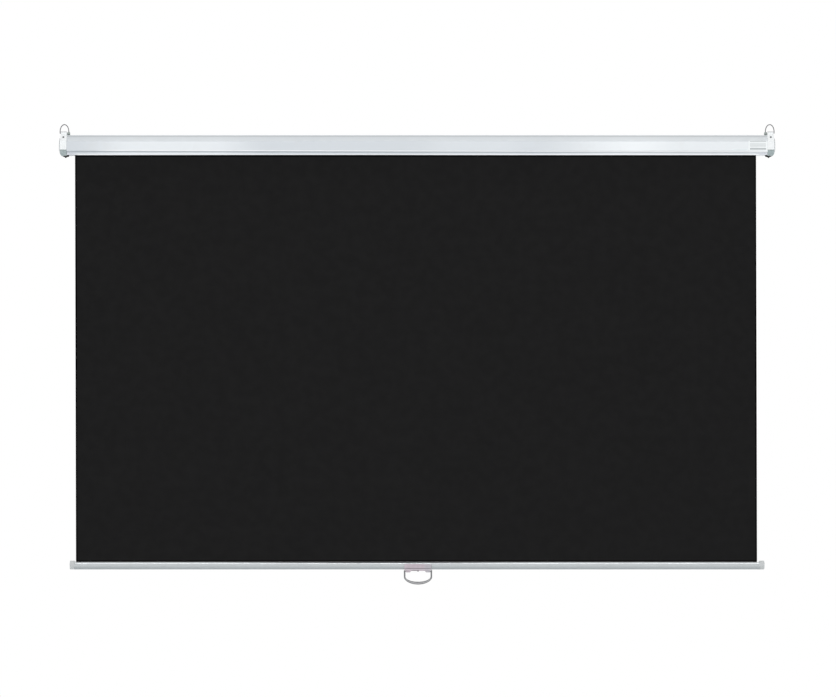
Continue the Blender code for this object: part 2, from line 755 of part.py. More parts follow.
    for piece in [cap, wedge, hollow, pocket, boss, tongue, *fills, *bores]:
        handed(piece, side)
    join(cap, boss, tongue)
    cut(cap, hollow, pocket)
    join(cap, *fills)
    cut(cap, wedge, *bores)
    return paint(cap, "white_plastic")


def make_cap_screws(word, side):
    for place, (y, z) in zip(("top", "back"), PORT_PLACES):
        origin = (side * (CAP_FACE + GAP), y, z)
        paint(pan_screw(f"cap_screw_{word}_{place}", origin, CAP_WIDTH + SCREW_GRIP, side=side), "steel")


def make_facet_screw(word, side):
    """The small dark screw on the cap's sloping facet."""
    (y, z), normal = facet_place(FACET_SCREW_Z)
    origin = (side * out(FACET_SCREW_OUT), y + normal.x * GAP, z + normal.y * GAP)
    screw = pan_screw(f"facet_screw_{word}", origin, FACET_SCREW_LENGTH - CAP_WALL / 2, axis="Z")
    screw.matrix_world = Matrix.Translation(origin) @ facet_turn()
    return paint(screw, "dark_steel")


def make_cap_foot(word, side):
    """The black stop under the cap, beside the raised bar's end."""
    low = CASE_BOTTOM - CAP_BOTTOM_EXTRA
    outline = [
        (out(FOOT_OUTER), low - GAP),
        (out(GAP), low - GAP),
        (out(GAP), CASE_BOTTOM - GAP),
        (out(FOOT_INNER), CASE_BOTTOM - GAP),
    ]
    outline += [(out(u), low - drop) for u, drop in FOOT_PROFILE]
    foot = prism(f"cap_foot_{word}", [outline], FABRIC_Y - FOOT_FRONT, FABRIC_Y + FOOT_BACK, "Y")
    stem_low = low - FOOT_STEM
    stem = rod("foot_stem", FOOT_STEM, stem_low, low + 2 * CAP_WALL, (out(FOOT_STEM_OUT), FABRIC_Y), axis="Z")
    handed(foot, side)
    handed(stem, side)
    join(foot, stem)
    return paint(foot, "black_rubber")


# Hanging rings


def make_hanging_ring(word, side):
    bend = 2 * RING_WIRE
    centre = (RING_OUTER_LEG + RING_INNER_LEG) / 2
    half = (RING_OUTER_LEG - RING_INNER_LEG) / 2
    spring_line = TONGUE_TOP
    rise = RING_TOP - spring_line
    path = [(CAP_WIDTH - CAP_WALL * 3, RING_PIVOT_RISE)]
    path += arc(bend, -math.pi / 2, 0, 4, (RING_OUTER_LEG - bend, RING_PIVOT_RISE + bend))
    angles = [math.pi * i / RING_STEPS for i in range(1, RING_STEPS)]
    path += [(centre + half * math.cos(a), spring_line + rise * math.sin(a)) for a in angles]
    path += [(RING_INNER_LEG, spring_line), (RING_INNER_LEG, RING_PIVOT_RISE + RUN + GAP)]
    points = [(side * out(u), RING_Y, z) for u, z in path]
    return paint(wire(f"hanging_ring_{word}", points, RING_WIRE, 1), "steel")


def make_ring_barrel(word, side):
    """The eye that carries the ring's inner leg, with the stub that turns in the tongue."""
    length = -BARREL_END
    edge = RING_WIRE / 3
    profile = [
        (0, length + BARREL_STUB_LENGTH),
        (BARREL_STUB, length + BARREL_STUB_LENGTH),
        (BARREL_STUB, length),
        (BARREL_RADIUS - edge, length),
        (BARREL_RADIUS, length - edge),
        (BARREL_RADIUS, edge),
        (BARREL_RADIUS - edge, 0),
        (0, 0),
    ]
    origin = (side * out(BARREL_END), RING_Y, RING_PIVOT_RISE)
    barrel = turned(f"ring_barrel_{word}", profile, origin, SMALL_ROUND)
    if side < 0:
        barrel.matrix_world = Matrix.Translation(origin) @ Matrix.Rotation(math.pi, 4, "Z") @ ALONG["X"]
    over = RING_PIVOT_RISE + 2 * BARREL_RADIUS
    hole = rod("leg_hole", RING_WIRE + GAP, RING_PIVOT_RISE, over, (out(RING_INNER_LEG), RING_Y), axis="Z")
    return paint(cut(barrel, handed(hole, side)), "steel")


# Roller


def make_roller_tube():
    half = GROOVE_WIDTH_TUBE / 2
    wall_half = half + ROLLER_WALL
    floor = ROLLER_RADIUS - GROOVE_DEPTH_TUBE
    outer_gap = math.asin(half / ROLLER_RADIUS)
    inner_gap = math.asin(wall_half / TUBE_BORE)
    up = math.pi / 2
    outer = arc(ROLLER_RADIUS, up + outer_gap, up + math.tau - outer_gap, ROUND)
    outer += [(half, floor), (-half, floor)]
    inner = arc(TUBE_BORE, up + inner_gap, up + math.tau - inner_gap, ROUND)
    inner += [(wall_half, floor - ROLLER_WALL), (-wall_half, floor - ROLLER_WALL)]
    tube = prism("roller_tube", [outer, inner], TUBE_LEFT, TUBE_RIGHT, centre=(ROLLER_Y, ROLLER_Z))
    return paint(tube, "steel")


def keyway(name, start, end):
    """Clears the tube's groove, which runs along the top of its bore."""
    half = GROOVE_WIDTH_TUBE / 2 + ROLLER_WALL + GAP
    floor = ROLLER_RADIUS - GROOVE_DEPTH_TUBE - ROLLER_WALL - GAP
    return block(
        name,
        (start, ROLLER_Y - half, ROLLER_Z + floor),
        (end, ROLLER_Y + half, ROLLER_Z + 2 * ROLLER_RADIUS),
    )


def pawl_places():
    """The pivots of both pawls, half a turn apart, as Y and Z from the roller's axis."""
    y, z = PAWL_PIVOT
    return {"a": (y, z, 0), "b": (-y, -z, math.pi)}


def make_spring_end_plug():
    body = TUBE_BORE - GAP
    bore = BUSH_BORE_RADIUS + GAP
    profile = [
        (PLUG_FLANGE_RADIUS, 0),
        (PLUG_FLANGE_RADIUS, -PLUG_FLANGE),
        (body, -PLUG_FLANGE),
        (body, -PLUG_FLANGE - PLUG_LENGTH),
        (SNOUT_RADIUS, -PLUG_FLANGE - PLUG_LENGTH),
        (SNOUT_RADIUS, -PLUG_FLANGE - PLUG_LENGTH - SNOUT_LENGTH),
        (bore, -PLUG_FLANGE - PLUG_LENGTH - SNOUT_LENGTH),
        (bore, 0),
    ]
    plug = turned("spring_end_plug", profile, (FLANGE_RIGHT, ROLLER_Y, ROLLER_Z), closed=True)
    for y, z, turn in pawl_places().values():
        way = Matrix.Rotation(turn, 2)
        stop_y, stop_z = way @ Vector(STOP_PLACE)
        stop_place = (ROLLER_Y + stop_y, ROLLER_Z + stop_z)
        low = FLANGE_RIGHT - PLUG_FLANGE / 2
        join(plug, rod("pawl_stop", STOP_RADIUS, low, RATCHET_X + RATCHET_WIDTH, stop_place))
        centre = (ROLLER_Y + y, ROLLER_Z + z)
        hole_low = FLANGE_RIGHT - 2 * PLUG_FLANGE
        cut(plug, rod("pin_hole", PAWL_PIN + GAP, hole_low, FLANGE_RIGHT + PLUG_FLANGE, centre))
    inner = FLANGE_RIGHT - PLUG_FLANGE
    cut(plug, keyway("spring_end_keyway", inner - 2 * PLUG_LENGTH, inner))
    return paint(plug, "nylon")


def make_idle_end_plug():
    body = TUBE_BORE - GAP
    bore = SHAFT_RADIUS + GAP
    profile = [
        (0, PLUG_FLANGE + PLUG_LENGTH),
        (body, PLUG_FLANGE + PLUG_LENGTH),
        (body, PLUG_FLANGE),
        (PLUG_FLANGE_RADIUS, PLUG_FLANGE),
        (PLUG_FLANGE_RADIUS, 0),
        (bore, 0),
        (bore, IDLE_PIN_DEPTH + GAP),
        (0, IDLE_PIN_DEPTH + GAP),
    ]
    plug = turned("idle_end_plug", profile, (FLANGE_LEFT, ROLLER_Y, ROLLER_Z))
    cut(plug, keyway("idle_end_keyway", FLANGE_LEFT + PLUG_FLANGE, FLANGE_LEFT + 2 * PLUG_LENGTH))
    return paint(plug, "nylon")


def make_idle_end():
    centre = (ROLLER_Y, ROLLER_Z)
    outer = -out(BUSH_START + BUSH_LENGTH)
    pin = rod("idle_pin", SHAFT_RADIUS, outer, FLANGE_LEFT + IDLE_PIN_DEPTH, centre, 24)
    paint(pin, "steel")
    ring = [circle(BUSH_RADIUS, ROUND, centre), circle(SHAFT_RADIUS + RUN, 24, centre)]
    bush = prism("idle_bush", ring, outer, -out(BUSH_START))
    return paint(bush, "nylon")


def make_spring_shaft():
    """The fixed shaft, with flats at its outer end that stop it from turning."""
    shaft = rod("spring_shaft", SHAFT_RADIUS, SHAFT_LEFT, SHAFT_RIGHT, (ROLLER_Y, ROLLER_Z), 24)
    for number, side in enumerate((-1, 1)):
        near = ROLLER_Y + side * SHAFT_FLAT / 2
        far = ROLLER_Y + side * 2 * SHAFT_RADIUS
        flat = block(
            f"shaft_flat_{number}",
            (SHAFT_RIGHT - SHAFT_FLAT_LENGTH, min(near, far), ROLLER_Z - 2 * SHAFT_RADIUS),
            (SHAFT_RIGHT + SHAFT_FLAT, max(near, far), ROLLER_Z + 2 * SHAFT_RADIUS),
        )
        cut(shaft, flat)
    return paint(shaft, "steel")


def make_shaft_bracket():
    """The plate in the right cap whose slot takes the shaft's flats."""
    half_slot = SHAFT_FLAT / 2 + GAP
    slot_floor = -SHAFT_RADIUS - GAP
    half = BRACKET_SIZE / 2
    outline = rounded(
        [
            (-half, -half, CAP_CORNER),
            (half, -half, CAP_CORNER),
            (half, half, CAP_CORNER),
            (half_slot, half, 0),
            (half_slot, slot_floor, 0),
            (-half_slot, slot_floor, 0),
            (-half_slot, half, 0),
            (-half, half, CAP_CORNER),
        ]
    )
    start = out(BRACKET_START)
    bracket = prism("shaft_bracket", [outline], start, start + BRACKET_THICKNESS, centre=(ROLLER_Y, ROLLER_Z))
    length = CAP_WIDTH - CAP_WALL - BRACKET_START - GAP
    for number, place in enumerate(BRACKET_PLACES, 1):
        ends = (start - CAP_WALL, start + 2 * CAP_WALL)
        cut(bracket, rod(f"bracket_hole_{number}", SCREW_RADIUS + GAP, *ends, place))
        paint(pan_screw(f"bracket_screw_{number}", (start - GAP, *place), length, side=-1), "steel")
    return paint(bracket, "steel")


def make_ratchet_wheel():
    """Radial faces that catch a pawl when the roller turns the fabric up, and sloping backs."""
    pitch = math.tau / TEETH
    outline = []
    for tooth in range(TEETH):
        face = math.pi / 2 + tooth * pitch
        outline.append((TOOTH_ROOT * math.cos(face), TOOTH_ROOT * math.sin(face)))
        back = face + pitch
        outline += arc(TOOTH_TIP, back - TOOTH_LAND, back, 1)
    bore = circle(SHAFT_RADIUS + GAP, 24)
    end = RATCHET_X + RATCHET_WIDTH
    wheel = prism("ratchet_wheel", [outline, bore], RATCHET_X, end, centre=(ROLLER_Y, ROLLER_Z))
    return paint(wheel, "steel")


def pawl_outline():
    """The engaged pawl about its own pivot: an eye, and an arm whose tip meets a tooth's radial face."""
    y, z = PAWL_PIVOT
    tip_y = -GAP - y
    tip_low = TOOTH_ROOT + GAP - z
    tip_high = TOOTH_TIP + GAP - z
    eye = arc(PAWL_EYE, *PAWL_EYE_ARC, 12)
    return eye + [
        (tip_y - PAWL_TIP - PAWL_RELIEF, tip_low + PAWL_RELIEF),
        (tip_y - PAWL_TIP, tip_low),
        (tip_y, tip_low),
        (tip_y, tip_high),
        (tip_y - PAWL_TIP - PAWL_BACK, tip_high + PAWL_BACK),
    ]


def make_pawl(word, y, z, turn):
    start = RATCHET_X
    hole = circle(PAWL_PIN + PAWL_RUN, SMALL_ROUND)
    pawl = prism(f"pawl_{word}", [pawl_outline(), hole], start, start + RATCHET_WIDTH)
    lift = Matrix.Rotation(PAWL_LIFT + turn, 4, "X")
    pawl.data.transform(Matrix.Translation((0, ROLLER_Y + y, ROLLER_Z + z)) @ lift)
    paint(pawl, "steel")
    head = PAWL_PIN_HEAD
    top = RATCHET_X + RATCHET_WIDTH + GAP
    foot = FLANGE_RIGHT - PLUG_FLANGE - top
    profile = [(0, PAWL_PIN), (head, PAWL_PIN), (head, 0), (PAWL_PIN, 0), (PAWL_PIN, foot), (0, foot)]
    paint(turned(f"pawl_pin_{word}", profile, (top, ROLLER_Y + y, ROLLER_Z + z), SMALL_ROUND), "steel")


def make_spring():
    """The torsion spring, from the turning plug's snout to the fixed collar, and what it winds on."""
    count = SPRING_CURLS * CURL_POINTS
    points = []
    for i in range(count + 1):
        angle = math.tau * i / CURL_POINTS
        points.append(
            (
                SPRING_RIGHT - SPRING_PITCH * i / CURL_POINTS,
                ROLLER_Y + SPRING_RADIUS * math.cos(angle),
                ROLLER_Z + SPRING_RADIUS * math.sin(angle),
            )
        )
    gap = min((Vector(points[0]) - Vector(p)).length for p in points[CURL_POINTS - 1 : 2 * CURL_POINTS])
    print(f"torsion_spring: least gap between curls {(gap - 2 * SPRING_WIRE) * 1000:.2f} mm")
    paint(wire("torsion_spring", points, SPRING_WIRE, 1), "steel")
    bore = SHAFT_RADIUS + GAP
    profile = [
        (SNOUT_RADIUS, SNOUT_LENGTH),
        (SNOUT_RADIUS, 0),
        (COLLAR_RADIUS, 0),
        (COLLAR_RADIUS, -COLLAR_WIDTH),
        (bore, -COLLAR_WIDTH),
        (bore, SNOUT_LENGTH),
    ]
    collar = turned("spring_collar", profile, (COLLAR_X, ROLLER_Y, ROLLER_Z), closed=True)
    return paint(collar, "nylon")


def make_shaft_bushes():
    centre = (ROLLER_Y, ROLLER_Z)
    bore = circle(SHAFT_RADIUS + RUN, 24, centre)
    small = [circle(BUSH_BORE_RADIUS, 24, centre), bore]
    paint(prism("shaft_bush", small, FLANGE_RIGHT - BUSH_LENGTH, FLANGE_RIGHT), "brass")
    large = [circle(TUBE_BORE - GAP, ROUND, centre), bore]
    end = SHAFT_LEFT + BUSH_LENGTH
    steady = prism("steady_bush", large, SHAFT_LEFT, end)
    cut(steady, keyway("steady_keyway", SHAFT_LEFT - BUSH_LENGTH, end + BUSH_LENGTH))
    return paint(steady, "nylon")


# Fabric


def make_fabric():
    axis = (ROLLER_Y, ROLLER_Z)
    spline = rounded([(a, b, GAP) for a, b in spline_corners()], steps=1)
    paint(prism("fabric_spline", [spline], FABRIC_LEFT, FABRIC_RIGHT, centre=axis), "nylon")

    steps = round(RESERVE_TURNS * ROUND)
    outer, inner = [], []
    for i in range(steps + 1):
        angle = math.tau * RESERVE_TURNS * i / steps
        radius = RESERVE_OUTER - RESERVE_PITCH * RESERVE_TURNS * i / steps
        for side, edge in ((1, outer), (-1, inner)):
            r = radius + side * FABRIC_THICKNESS / 2
            edge.append((-r * math.cos(angle), r * math.sin(angle)))
    print(f"wound_fabric: least gap between turns {RESERVE_GAP * 1000:.2f} mm")
    roll = prism("wound_fabric", [outer + inner[::-1]], FABRIC_LEFT, FABRIC_RIGHT, centre=axis)
    paint(roll, "black_fabric")

    half = FABRIC_THICKNESS / 2
    drop = block(
        "screen_fabric",
        (FABRIC_LEFT, FABRIC_Y - half, HEM_TOP + GAP),
        (FABRIC_RIGHT, FABRIC_Y + half, ROLLER_Z - GAP),
    )
    return paint(drop, "black_fabric")


def spline_corners():
    half = GROOVE_WIDTH_TUBE / 2 - GAP
    floor = ROLLER_RADIUS - GROOVE_DEPTH_TUBE + GAP
    return [(-half, floor), (half, floor), (half, ROLLER_RADIUS - GAP), (-half, ROLLER_RADIUS - GAP)]


# Weight bar


def make_weight_bar():
    section = c_band(BAR_RADIUS, BAR_RADIUS - BAR_WALL, BAR_SLOT, math.pi / 2, (FABRIC_Y, BAR_Z))
    bar = prism("weight_bar", [section], -BAR_END, BAR_END)
    low = BAR_Z - 2 * BAR_RADIUS
    hole_top = BAR_Z - BAR_RADIUS / 2
    hole = rod("clip_screw_hole", SCREW_RADIUS + GAP, low, hole_top, (HANDLE_X, FABRIC_Y), axis="Z")
    return paint(cut(bar, hole), "bar_metal")


def make_hem():
    centre = (FABRIC_Y, HEM_ROD_Z)
    start = FABRIC_LEFT + HEM_ROD_SHORT
    paint(rod("hem_rod", HEM_ROD_RADIUS, start, FABRIC_RIGHT - HEM_ROD_SHORT, centre, SMALL_ROUND), "nylon")
    bore = HEM_ROD_RADIUS + GAP
    neck = math.asin(FABRIC_THICKNESS / HEM_LOOP)
    up = math.pi / 2
    outer = arc(HEM_LOOP, up + neck, up + math.tau - neck, 24, centre)
    outer += [(FABRIC_Y + FABRIC_THICKNESS, HEM_TOP), (FABRIC_Y - FABRIC_THICKNESS, HEM_TOP)]
    hem = prism("fabric_hem", [outer, circle(bore, 24, centre)], FABRIC_LEFT, FABRIC_RIGHT)
    return paint(hem, "black_fabric")


def bar_cap_ring(radius):
    """A round section drawn taller by the hump."""
    low = BAR_Z - BAR_RADIUS + BAR_CAP_RADIUS
    lower = arc(radius, math.pi, math.tau, 12, (FABRIC_Y, low))
    upper = arc(radius, 0, math.pi, 12, (FABRIC_Y, low + BAR_CAP_HUMP))
    return lower + upper


def make_bar_cap(word, side):
    start = BAR_END - BAR_CAP_SOCKET
    end = start + BAR_CAP_LENGTH
    roll = BAR_CAP_RADIUS / 4
    stations = [(start, BAR_CAP_RADIUS - roll / 4), (start + roll / 4, BAR_CAP_RADIUS)]
    for i in range(5):
        angle = math.pi / 2 * i / 4
        radius = BAR_CAP_RADIUS - roll + roll * math.cos(angle)
        stations.append((end - roll + roll * math.sin(angle), radius))
    cap = loft(f"bar_cap_{word}", [[(x, y, z) for y, z in bar_cap_ring(r)] for x, r in stations])
    centre = (FABRIC_Y, BAR_Z)
    socket = rod("bar_socket", BAR_RADIUS + GAP, start - BAR_CAP_SOCKET, BAR_END + GAP, centre, ROUND)
    inside = BAR_RADIUS - BAR_WALL - GAP
    spigot = rod("bar_spigot", inside, BAR_END - BAR_CAP_SPIGOT, BAR_END + BAR_WALL, centre, 24)
    hem_room = block(
        "hem_room",
        (start - BAR_CAP_SPIGOT * 2, FABRIC_Y - BAR_RADIUS, BAR_Z + BAR_WALL),
        (BAR_END + GAP, FABRIC_Y + BAR_RADIUS, BAR_Z + 2 * BAR_RADIUS),
    )
    for piece in (cap, socket, spigot, hem_room):
        handed(piece, side)
    cut(spigot, hem_room)
    cut(cap, socket)
    join(cap, spigot)
    return paint(cap, "grey_plastic")


# Pull handle


def make_handle_clip():
    bore = BAR_RADIUS + GAP
    radius = bore + CLIP_WALL
    start = math.pi - CLIP_REACH
    end = math.tau + CLIP_REACH
    centre = (FABRIC_Y, BAR_Z)
    band = arc(radius, start, end, ROUND, centre) + arc(bore, end, start, ROUND, centre)
    clip = shifted(prism("handle_clip", [band], -CLIP_LENGTH / 2, CLIP_LENGTH / 2))
    top = BAR_Z - bore - CLIP_WALL / 4
    ridge = BAR_Z - RIDGE_DROP
    ear = BAR_Z - EAR_DROP
    knee = EAR_INNER + EAR_SLOPE
    round_ear = CLIP_WALL
    outline = rounded(
        [
            (-RIDGE_HALF, top, 0),
            (-RIDGE_HALF, ear, round_ear),
            (-knee, ear, round_ear),
            (-EAR_INNER, ridge, round_ear),
            (EAR_INNER, ridge, round_ear),
            (knee, ear, round_ear),
            (RIDGE_HALF, ear, round_ear),
            (RIDGE_HALF, top, 0),
        ]
    )
    half = RIDGE_DEPTH / 2
    join(clip, shifted(prism("keel", [outline], FABRIC_Y - half, FABRIC_Y + half, "Y")))
    ends = (RIDGE_HALF - BAIL_STUB_LENGTH - GAP, RIDGE_HALF + CLIP_WALL)
    for side in (-1, 1):
        hole = rod("ear_hole", BAIL_STUB_RADIUS + RUN, *ends, (FABRIC_Y, BAIL_PIVOT_Z))
        cut(clip, shifted(handed(hole, side)))
    way_low = ridge - CLIP_WALL
    way_top = BAR_Z - BAR_RADIUS / 2
    cut(clip, rod("screw_way", SCREW_RADIUS + GAP, way_low, way_top, (HANDLE_X, FABRIC_Y), axis="Z"))
    paint(clip, "clip_plastic")
    origin = (HANDLE_X, FABRIC_Y, ridge - GAP)
    screw = pan_screw("clip_screw", origin, CLIP_SCREW_LENGTH, axis="Z")
    screw.matrix_world = Matrix.Translation(origin) @ Matrix.Rotation(math.pi, 4, "X")
    return paint(screw, "dark_steel")


def bail_ring(x, z, normal, thickness, depth):
    """A section of the strap, square to its path, with a rim on each side of a shallow channel."""
    half, deep = thickness / 2, depth / 2
    floor = deep - BAIL_RIM
    edge = BAIL_RIM
    lip = half * BAIL_CHANNEL
    base = lip - BAIL_RIM / 2
    side = [(half, -deep + edge), (half - edge, -deep), (lip, -deep), (base, -floor)]
    front = side + [(-a, b) for a, b in reversed(side)]
    section = front + [(a, -b) for a, b in reversed(front)]
    return [(x + normal[0] * a, FABRIC_Y + b, z + normal[1] * a) for a, b in section]


def make_pull_handle():
    drop = BAIL_HEIGHT - BAIL_LEG
    bend_z = BAIL_PIVOT_Z - BAIL_LEG
    rings = []
    leg = (BAIL_LEG_THICKNESS, BAIL_LEG_DEPTH)
    for k in (0, 1):
        rings.append(bail_ring(BAIL_HALF, BAIL_PIVOT_Z - BAIL_LEG * k / 2, (1, 0), *leg))
    for i in range(BAIL_STEPS + 1):
        angle = math.pi * i / BAIL_STEPS
        x = BAIL_HALF * math.cos(angle)
        z = bend_z - drop * math.sin(angle)
        normal = Vector((math.cos(angle) * drop, -math.sin(angle) * BAIL_HALF)).normalized()
        grip = math.sin(angle) ** 2
        thickness = BAIL_LEG_THICKNESS + (BAIL_GRIP_THICKNESS - BAIL_LEG_THICKNESS) * grip
        depth = BAIL_LEG_DEPTH + (BAIL_GRIP_DEPTH - BAIL_LEG_DEPTH) * grip
        rings.append(bail_ring(x, z, normal, thickness, depth))
    for k in (1, 0):
        rings.append(bail_ring(-BAIL_HALF, BAIL_PIVOT_Z - BAIL_LEG * k / 2, (-1, 0), *leg))
    bail = shifted(loft("pull_handle", rings))
    inner = BAIL_HALF - BAIL_LEG_THICKNESS / 2
    outer = BAIL_HALF + BAIL_LEG_THICKNESS / 2
    centre = (FABRIC_Y, BAIL_PIVOT_Z)
    for side in (-1, 1):
        eye = rod("bail_eye", BAIL_EYE_RADIUS, inner, outer, centre, 24)
        stub = rod("bail_stub", BAIL_STUB_RADIUS, RIDGE_HALF - BAIL_STUB_LENGTH, BAIL_HALF, centre)
        join(bail, shifted(handed(eye, side)), shifted(handed(stub, side)))
    return paint(bail, "grey_plastic")


clear_scene()
PARTS = make_collection("projector_screen")
HELPERS = make_collection("cutters")

make_case_housing()
for end_word, end_side in (("left", -1), ("right", 1)):
    make_end_cap(f"end_cap_{end_word}", end_side)
    make_cap_screws(end_word, end_side)
    make_facet_screw(end_word, end_side)
    make_cap_foot(end_word, end_side)
    make_hanging_ring(end_word, end_side)
    make_ring_barrel(end_word, end_side)
    make_bar_cap(end_word, end_side)

make_roller_tube()
make_spring_end_plug()
make_idle_end_plug()
make_idle_end()
make_spring_shaft()
make_shaft_bracket()
make_ratchet_wheel()
for pawl_word, pawl_place in pawl_places().items():
    make_pawl(pawl_word, *pawl_place)
make_spring()
make_shaft_bushes()

make_fabric()
make_weight_bar()
make_hem()
make_handle_clip()
make_pull_handle()
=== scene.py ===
"""Looks of the pull-down projector screen: finishes, cloth, stickers, light and camera.

Metres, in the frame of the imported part: +Z up, X along the width, the front at -Y.
"""

import math

import bmesh
import bpy
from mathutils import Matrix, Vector


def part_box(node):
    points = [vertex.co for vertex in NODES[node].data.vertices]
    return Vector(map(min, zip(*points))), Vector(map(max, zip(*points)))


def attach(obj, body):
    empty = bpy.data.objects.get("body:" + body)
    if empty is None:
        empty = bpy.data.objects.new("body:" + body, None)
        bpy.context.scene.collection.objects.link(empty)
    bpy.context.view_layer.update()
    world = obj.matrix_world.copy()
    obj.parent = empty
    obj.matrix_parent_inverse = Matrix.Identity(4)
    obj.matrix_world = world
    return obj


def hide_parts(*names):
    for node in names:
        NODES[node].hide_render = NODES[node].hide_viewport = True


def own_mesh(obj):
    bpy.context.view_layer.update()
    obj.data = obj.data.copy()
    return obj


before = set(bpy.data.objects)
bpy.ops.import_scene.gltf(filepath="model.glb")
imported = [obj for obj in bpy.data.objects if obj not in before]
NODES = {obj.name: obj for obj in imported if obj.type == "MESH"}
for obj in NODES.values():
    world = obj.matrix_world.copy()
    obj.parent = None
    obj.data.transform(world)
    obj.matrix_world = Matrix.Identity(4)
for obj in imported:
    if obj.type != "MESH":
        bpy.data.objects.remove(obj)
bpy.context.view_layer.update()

# View
SENSOR = 36.0
CAMERA_DISTANCE = 12.0  # in front of the cloth
CAMERA_CLIP = (0.1, 200)
VIEW_WIDTH = 2.779  # across the frame, at the cloth
VIEW_X = 0.003
VIEW_Z = -0.676

# Stage
FLOOR_Z = -2.4
FLOOR_SIZE = 5.4
FLOOR_COLOUR = (0.86, 0.87, 0.88)
FLOOR_CLOUDS = (0.83, 0.84, 0.85)
AMBIENT_COLOUR = (0.97, 0.985, 1.0)
AMBIENT_STRENGTH = 0.40

# Lamps: name, place, aim, width, height, power, and whether gloss shows the lamp
LAMPS = (
    ("key", (0.0, -6.0, -0.1), (0, 0, -0.6), 9.0, 5.0, 230, False),
    ("above", (0.0, -0.5, 3.2), (0, 0, -0.5), 4.0, 0.3, 30, True),
    ("behind", (0.0, 6.0, 0.6), (0, 0, -0.6), 7.0, 4.0, 170, False),
    ("left", (-5.5, 1.2, 0.4), (0, 0, -0.4), 3.0, 3.0, 80, False),
    ("right", (5.5, 1.2, 0.4), (0, 0, -0.4), 3.0, 3.0, 80, False),
)

# In the finishes a pair of numbers is where a shade sets in and where it is full. Where the name says
# which way a face looks, they are parts of its normal.

# Case
CASE_COLOUR = (0.675, 0.71, 0.745)
CASE_CLOUDS = (0.64, 0.67, 0.69)
CASE_WEAR = (0.68, 0.67, 0.64)
CASE_FACES_FRONT = (-0.30, -0.50)

# Slope above the case's front face, in painted shade, and how much of a sheen it keeps
SLOPE_SHADE = (0.58, 0.61, 0.62)
SLOPE_SHADE_STRENGTH = 0.35
SLOPE_BEGINS = (0.35, 0.60)
SLOPE_ENDS = (0.85, 0.75)
FRONT_TOP = (0.0098, 0.0118)
SLOPE_SHEEN = 0.45

# Painted sheens along the case, lighter colour standing in for reflections: middle, reach and strength
SHEEN_COLOUR = (0.95, 0.98, 1.0)
SHEENS = ((-0.82, 0.34, 0.60), (0.19, 0.24, 0.22), (0.94, 0.62, 0.95))

# Painted shade and highlight lines across the case's front: the heights over which each fades in from
# above and out below, its colour and strength, how far it sinks for each metre to the right, and where
# along the case it begins
SHADE_AND_HIGHLIGHT_LINES = (
    ((0.0315, 0.0300), (0.0258, 0.0280), (0.45, 0.47, 0.48), 0.55, 0.0, -1.3),
    ((-0.0175, -0.0195), (-0.0226, -0.0214), (0.98, 0.99, 1.0), 1.0, 0.0020, -1.08),
    ((-0.0216, -0.0226), (-0.0275, -0.0250), (0.34, 0.38, 0.42), 0.55, 0.0018, -1.3),
    ((-0.0288, -0.0312), (-0.0350, -0.0345), (0.97, 0.99, 1.0), 0.90, 0.0, -1.3),
)
SHADE_AND_HIGHLIGHT_FADE = 0.08

# Painted shadow under the case's lip: its colour and strength, heights, the middle of its length, where
# it ends and where it is full
LIP_SHADOW = (0.05, 0.055, 0.06)
LIP_SHADOW_STRENGTH = 0.9
LIP_UNDER = (-0.0321, -0.0329)
LIP_MIDDLE = -0.37
LIP_LENGTH = (0.74, 0.15)
LIP_FACES_FRONT = (-0.10, -0.25)

# Ends of the lip beyond the cloth, in painted shade: their colour, strength, heights and places along
# it, and the painted shade under the left one
LIP_END_SHADE = (0.58, 0.60, 0.66)
LIP_END_SHADE_STRENGTH = 0.6
LIP_TOP = (-0.0240, -0.0270)
LIP_BEYOND_CLOTH = (1.126, 1.142)
LIP_LEFT_SHADE = (0.22, 0.22, 0.24)
LIP_LEFT = (-1.124, -1.134)

# End caps
CAP_COLOUR = (0.94, 0.96, 0.965)
CAP_WEAR = (0.87, 0.87, 0.84)

# Painted shade on a cap's sloping facet, its fold and its flanks
FACET_SHADE = (0.375, 0.445, 0.45)
FACET_FACES_FRONT = (-0.45, -0.60)
FACET_FACES_DOWN = (-0.20, -0.40)
FOLD_SHADE = (0.27, 0.32, 0.31)
FOLD_HEIGHT = (-0.0200, -0.0165)
FLANK_SHADE = (0.20, 0.23, 0.23)
FLANK_SHADE_STRENGTH = 0.9
FLANK_FACES_ASIDE = (0.30, 0.50)

# Painted shade inside a cap's side and top edges: how far in it sets in, and how far in it is full
CAP_EDGE_SHADE = (0.0034, 0.0018)
CAP_EDGE_SHADE_STRENGTH = 0.85
SIDE_EDGE_SHADE = (0.46, 0.48, 0.49)
TOP_EDGE_SHADE = (0.50, 0.50, 0.51)

# Plain plastics: colour and darker clouds
PLASTICS = {
    "grey_plastic": ((0.60, 0.62, 0.62), (0.47, 0.49, 0.49)),
    "handle_plastic": ((0.20, 0.20, 0.205), (0.14, 0.14, 0.145)),
    "nylon": ((0.72, 0.71, 0.66), (0.62, 0.61, 0.56)),
}

# Clip, which is greyer to the right, with a painted shadow at its right end
CLIP_COLOUR = (0.53, 0.455, 0.50)
CLIP_CLOUDS = (0.44, 0.38, 0.42)
CLIP_FACES_FRONT = (-0.05, -0.20)
CLIP_GREY = (0.455, 0.445, 0.475)
CLIP_GREYER = (0.018, 0.032)
CLIP_END_SHADOW = (0.24, 0.23, 0.24)
CLIP_END_SHADOW_STRENGTH = 0.8
CLIP_RIGHT_END = (0.0462, 0.0472)

# Painted shade and highlight lines across the clip's front, each with its middle height, half
# thickness, ends, colour and strength
CLIP_SHADE_LINES = (
    (-1.4074, 0.0016, (-0.040, 0.046), (0.17, 0.15, 0.17), 0.85),
    (-1.4106, 0.0014, (-0.040, 0.046), (0.95, 0.88, 0.93), 0.75),
    (-1.4141, 0.0013, (-0.020, 0.007), (0.11, 0.10, 0.11), 0.90),
)
CLIP_SHADE_LINE_FADE = 0.002

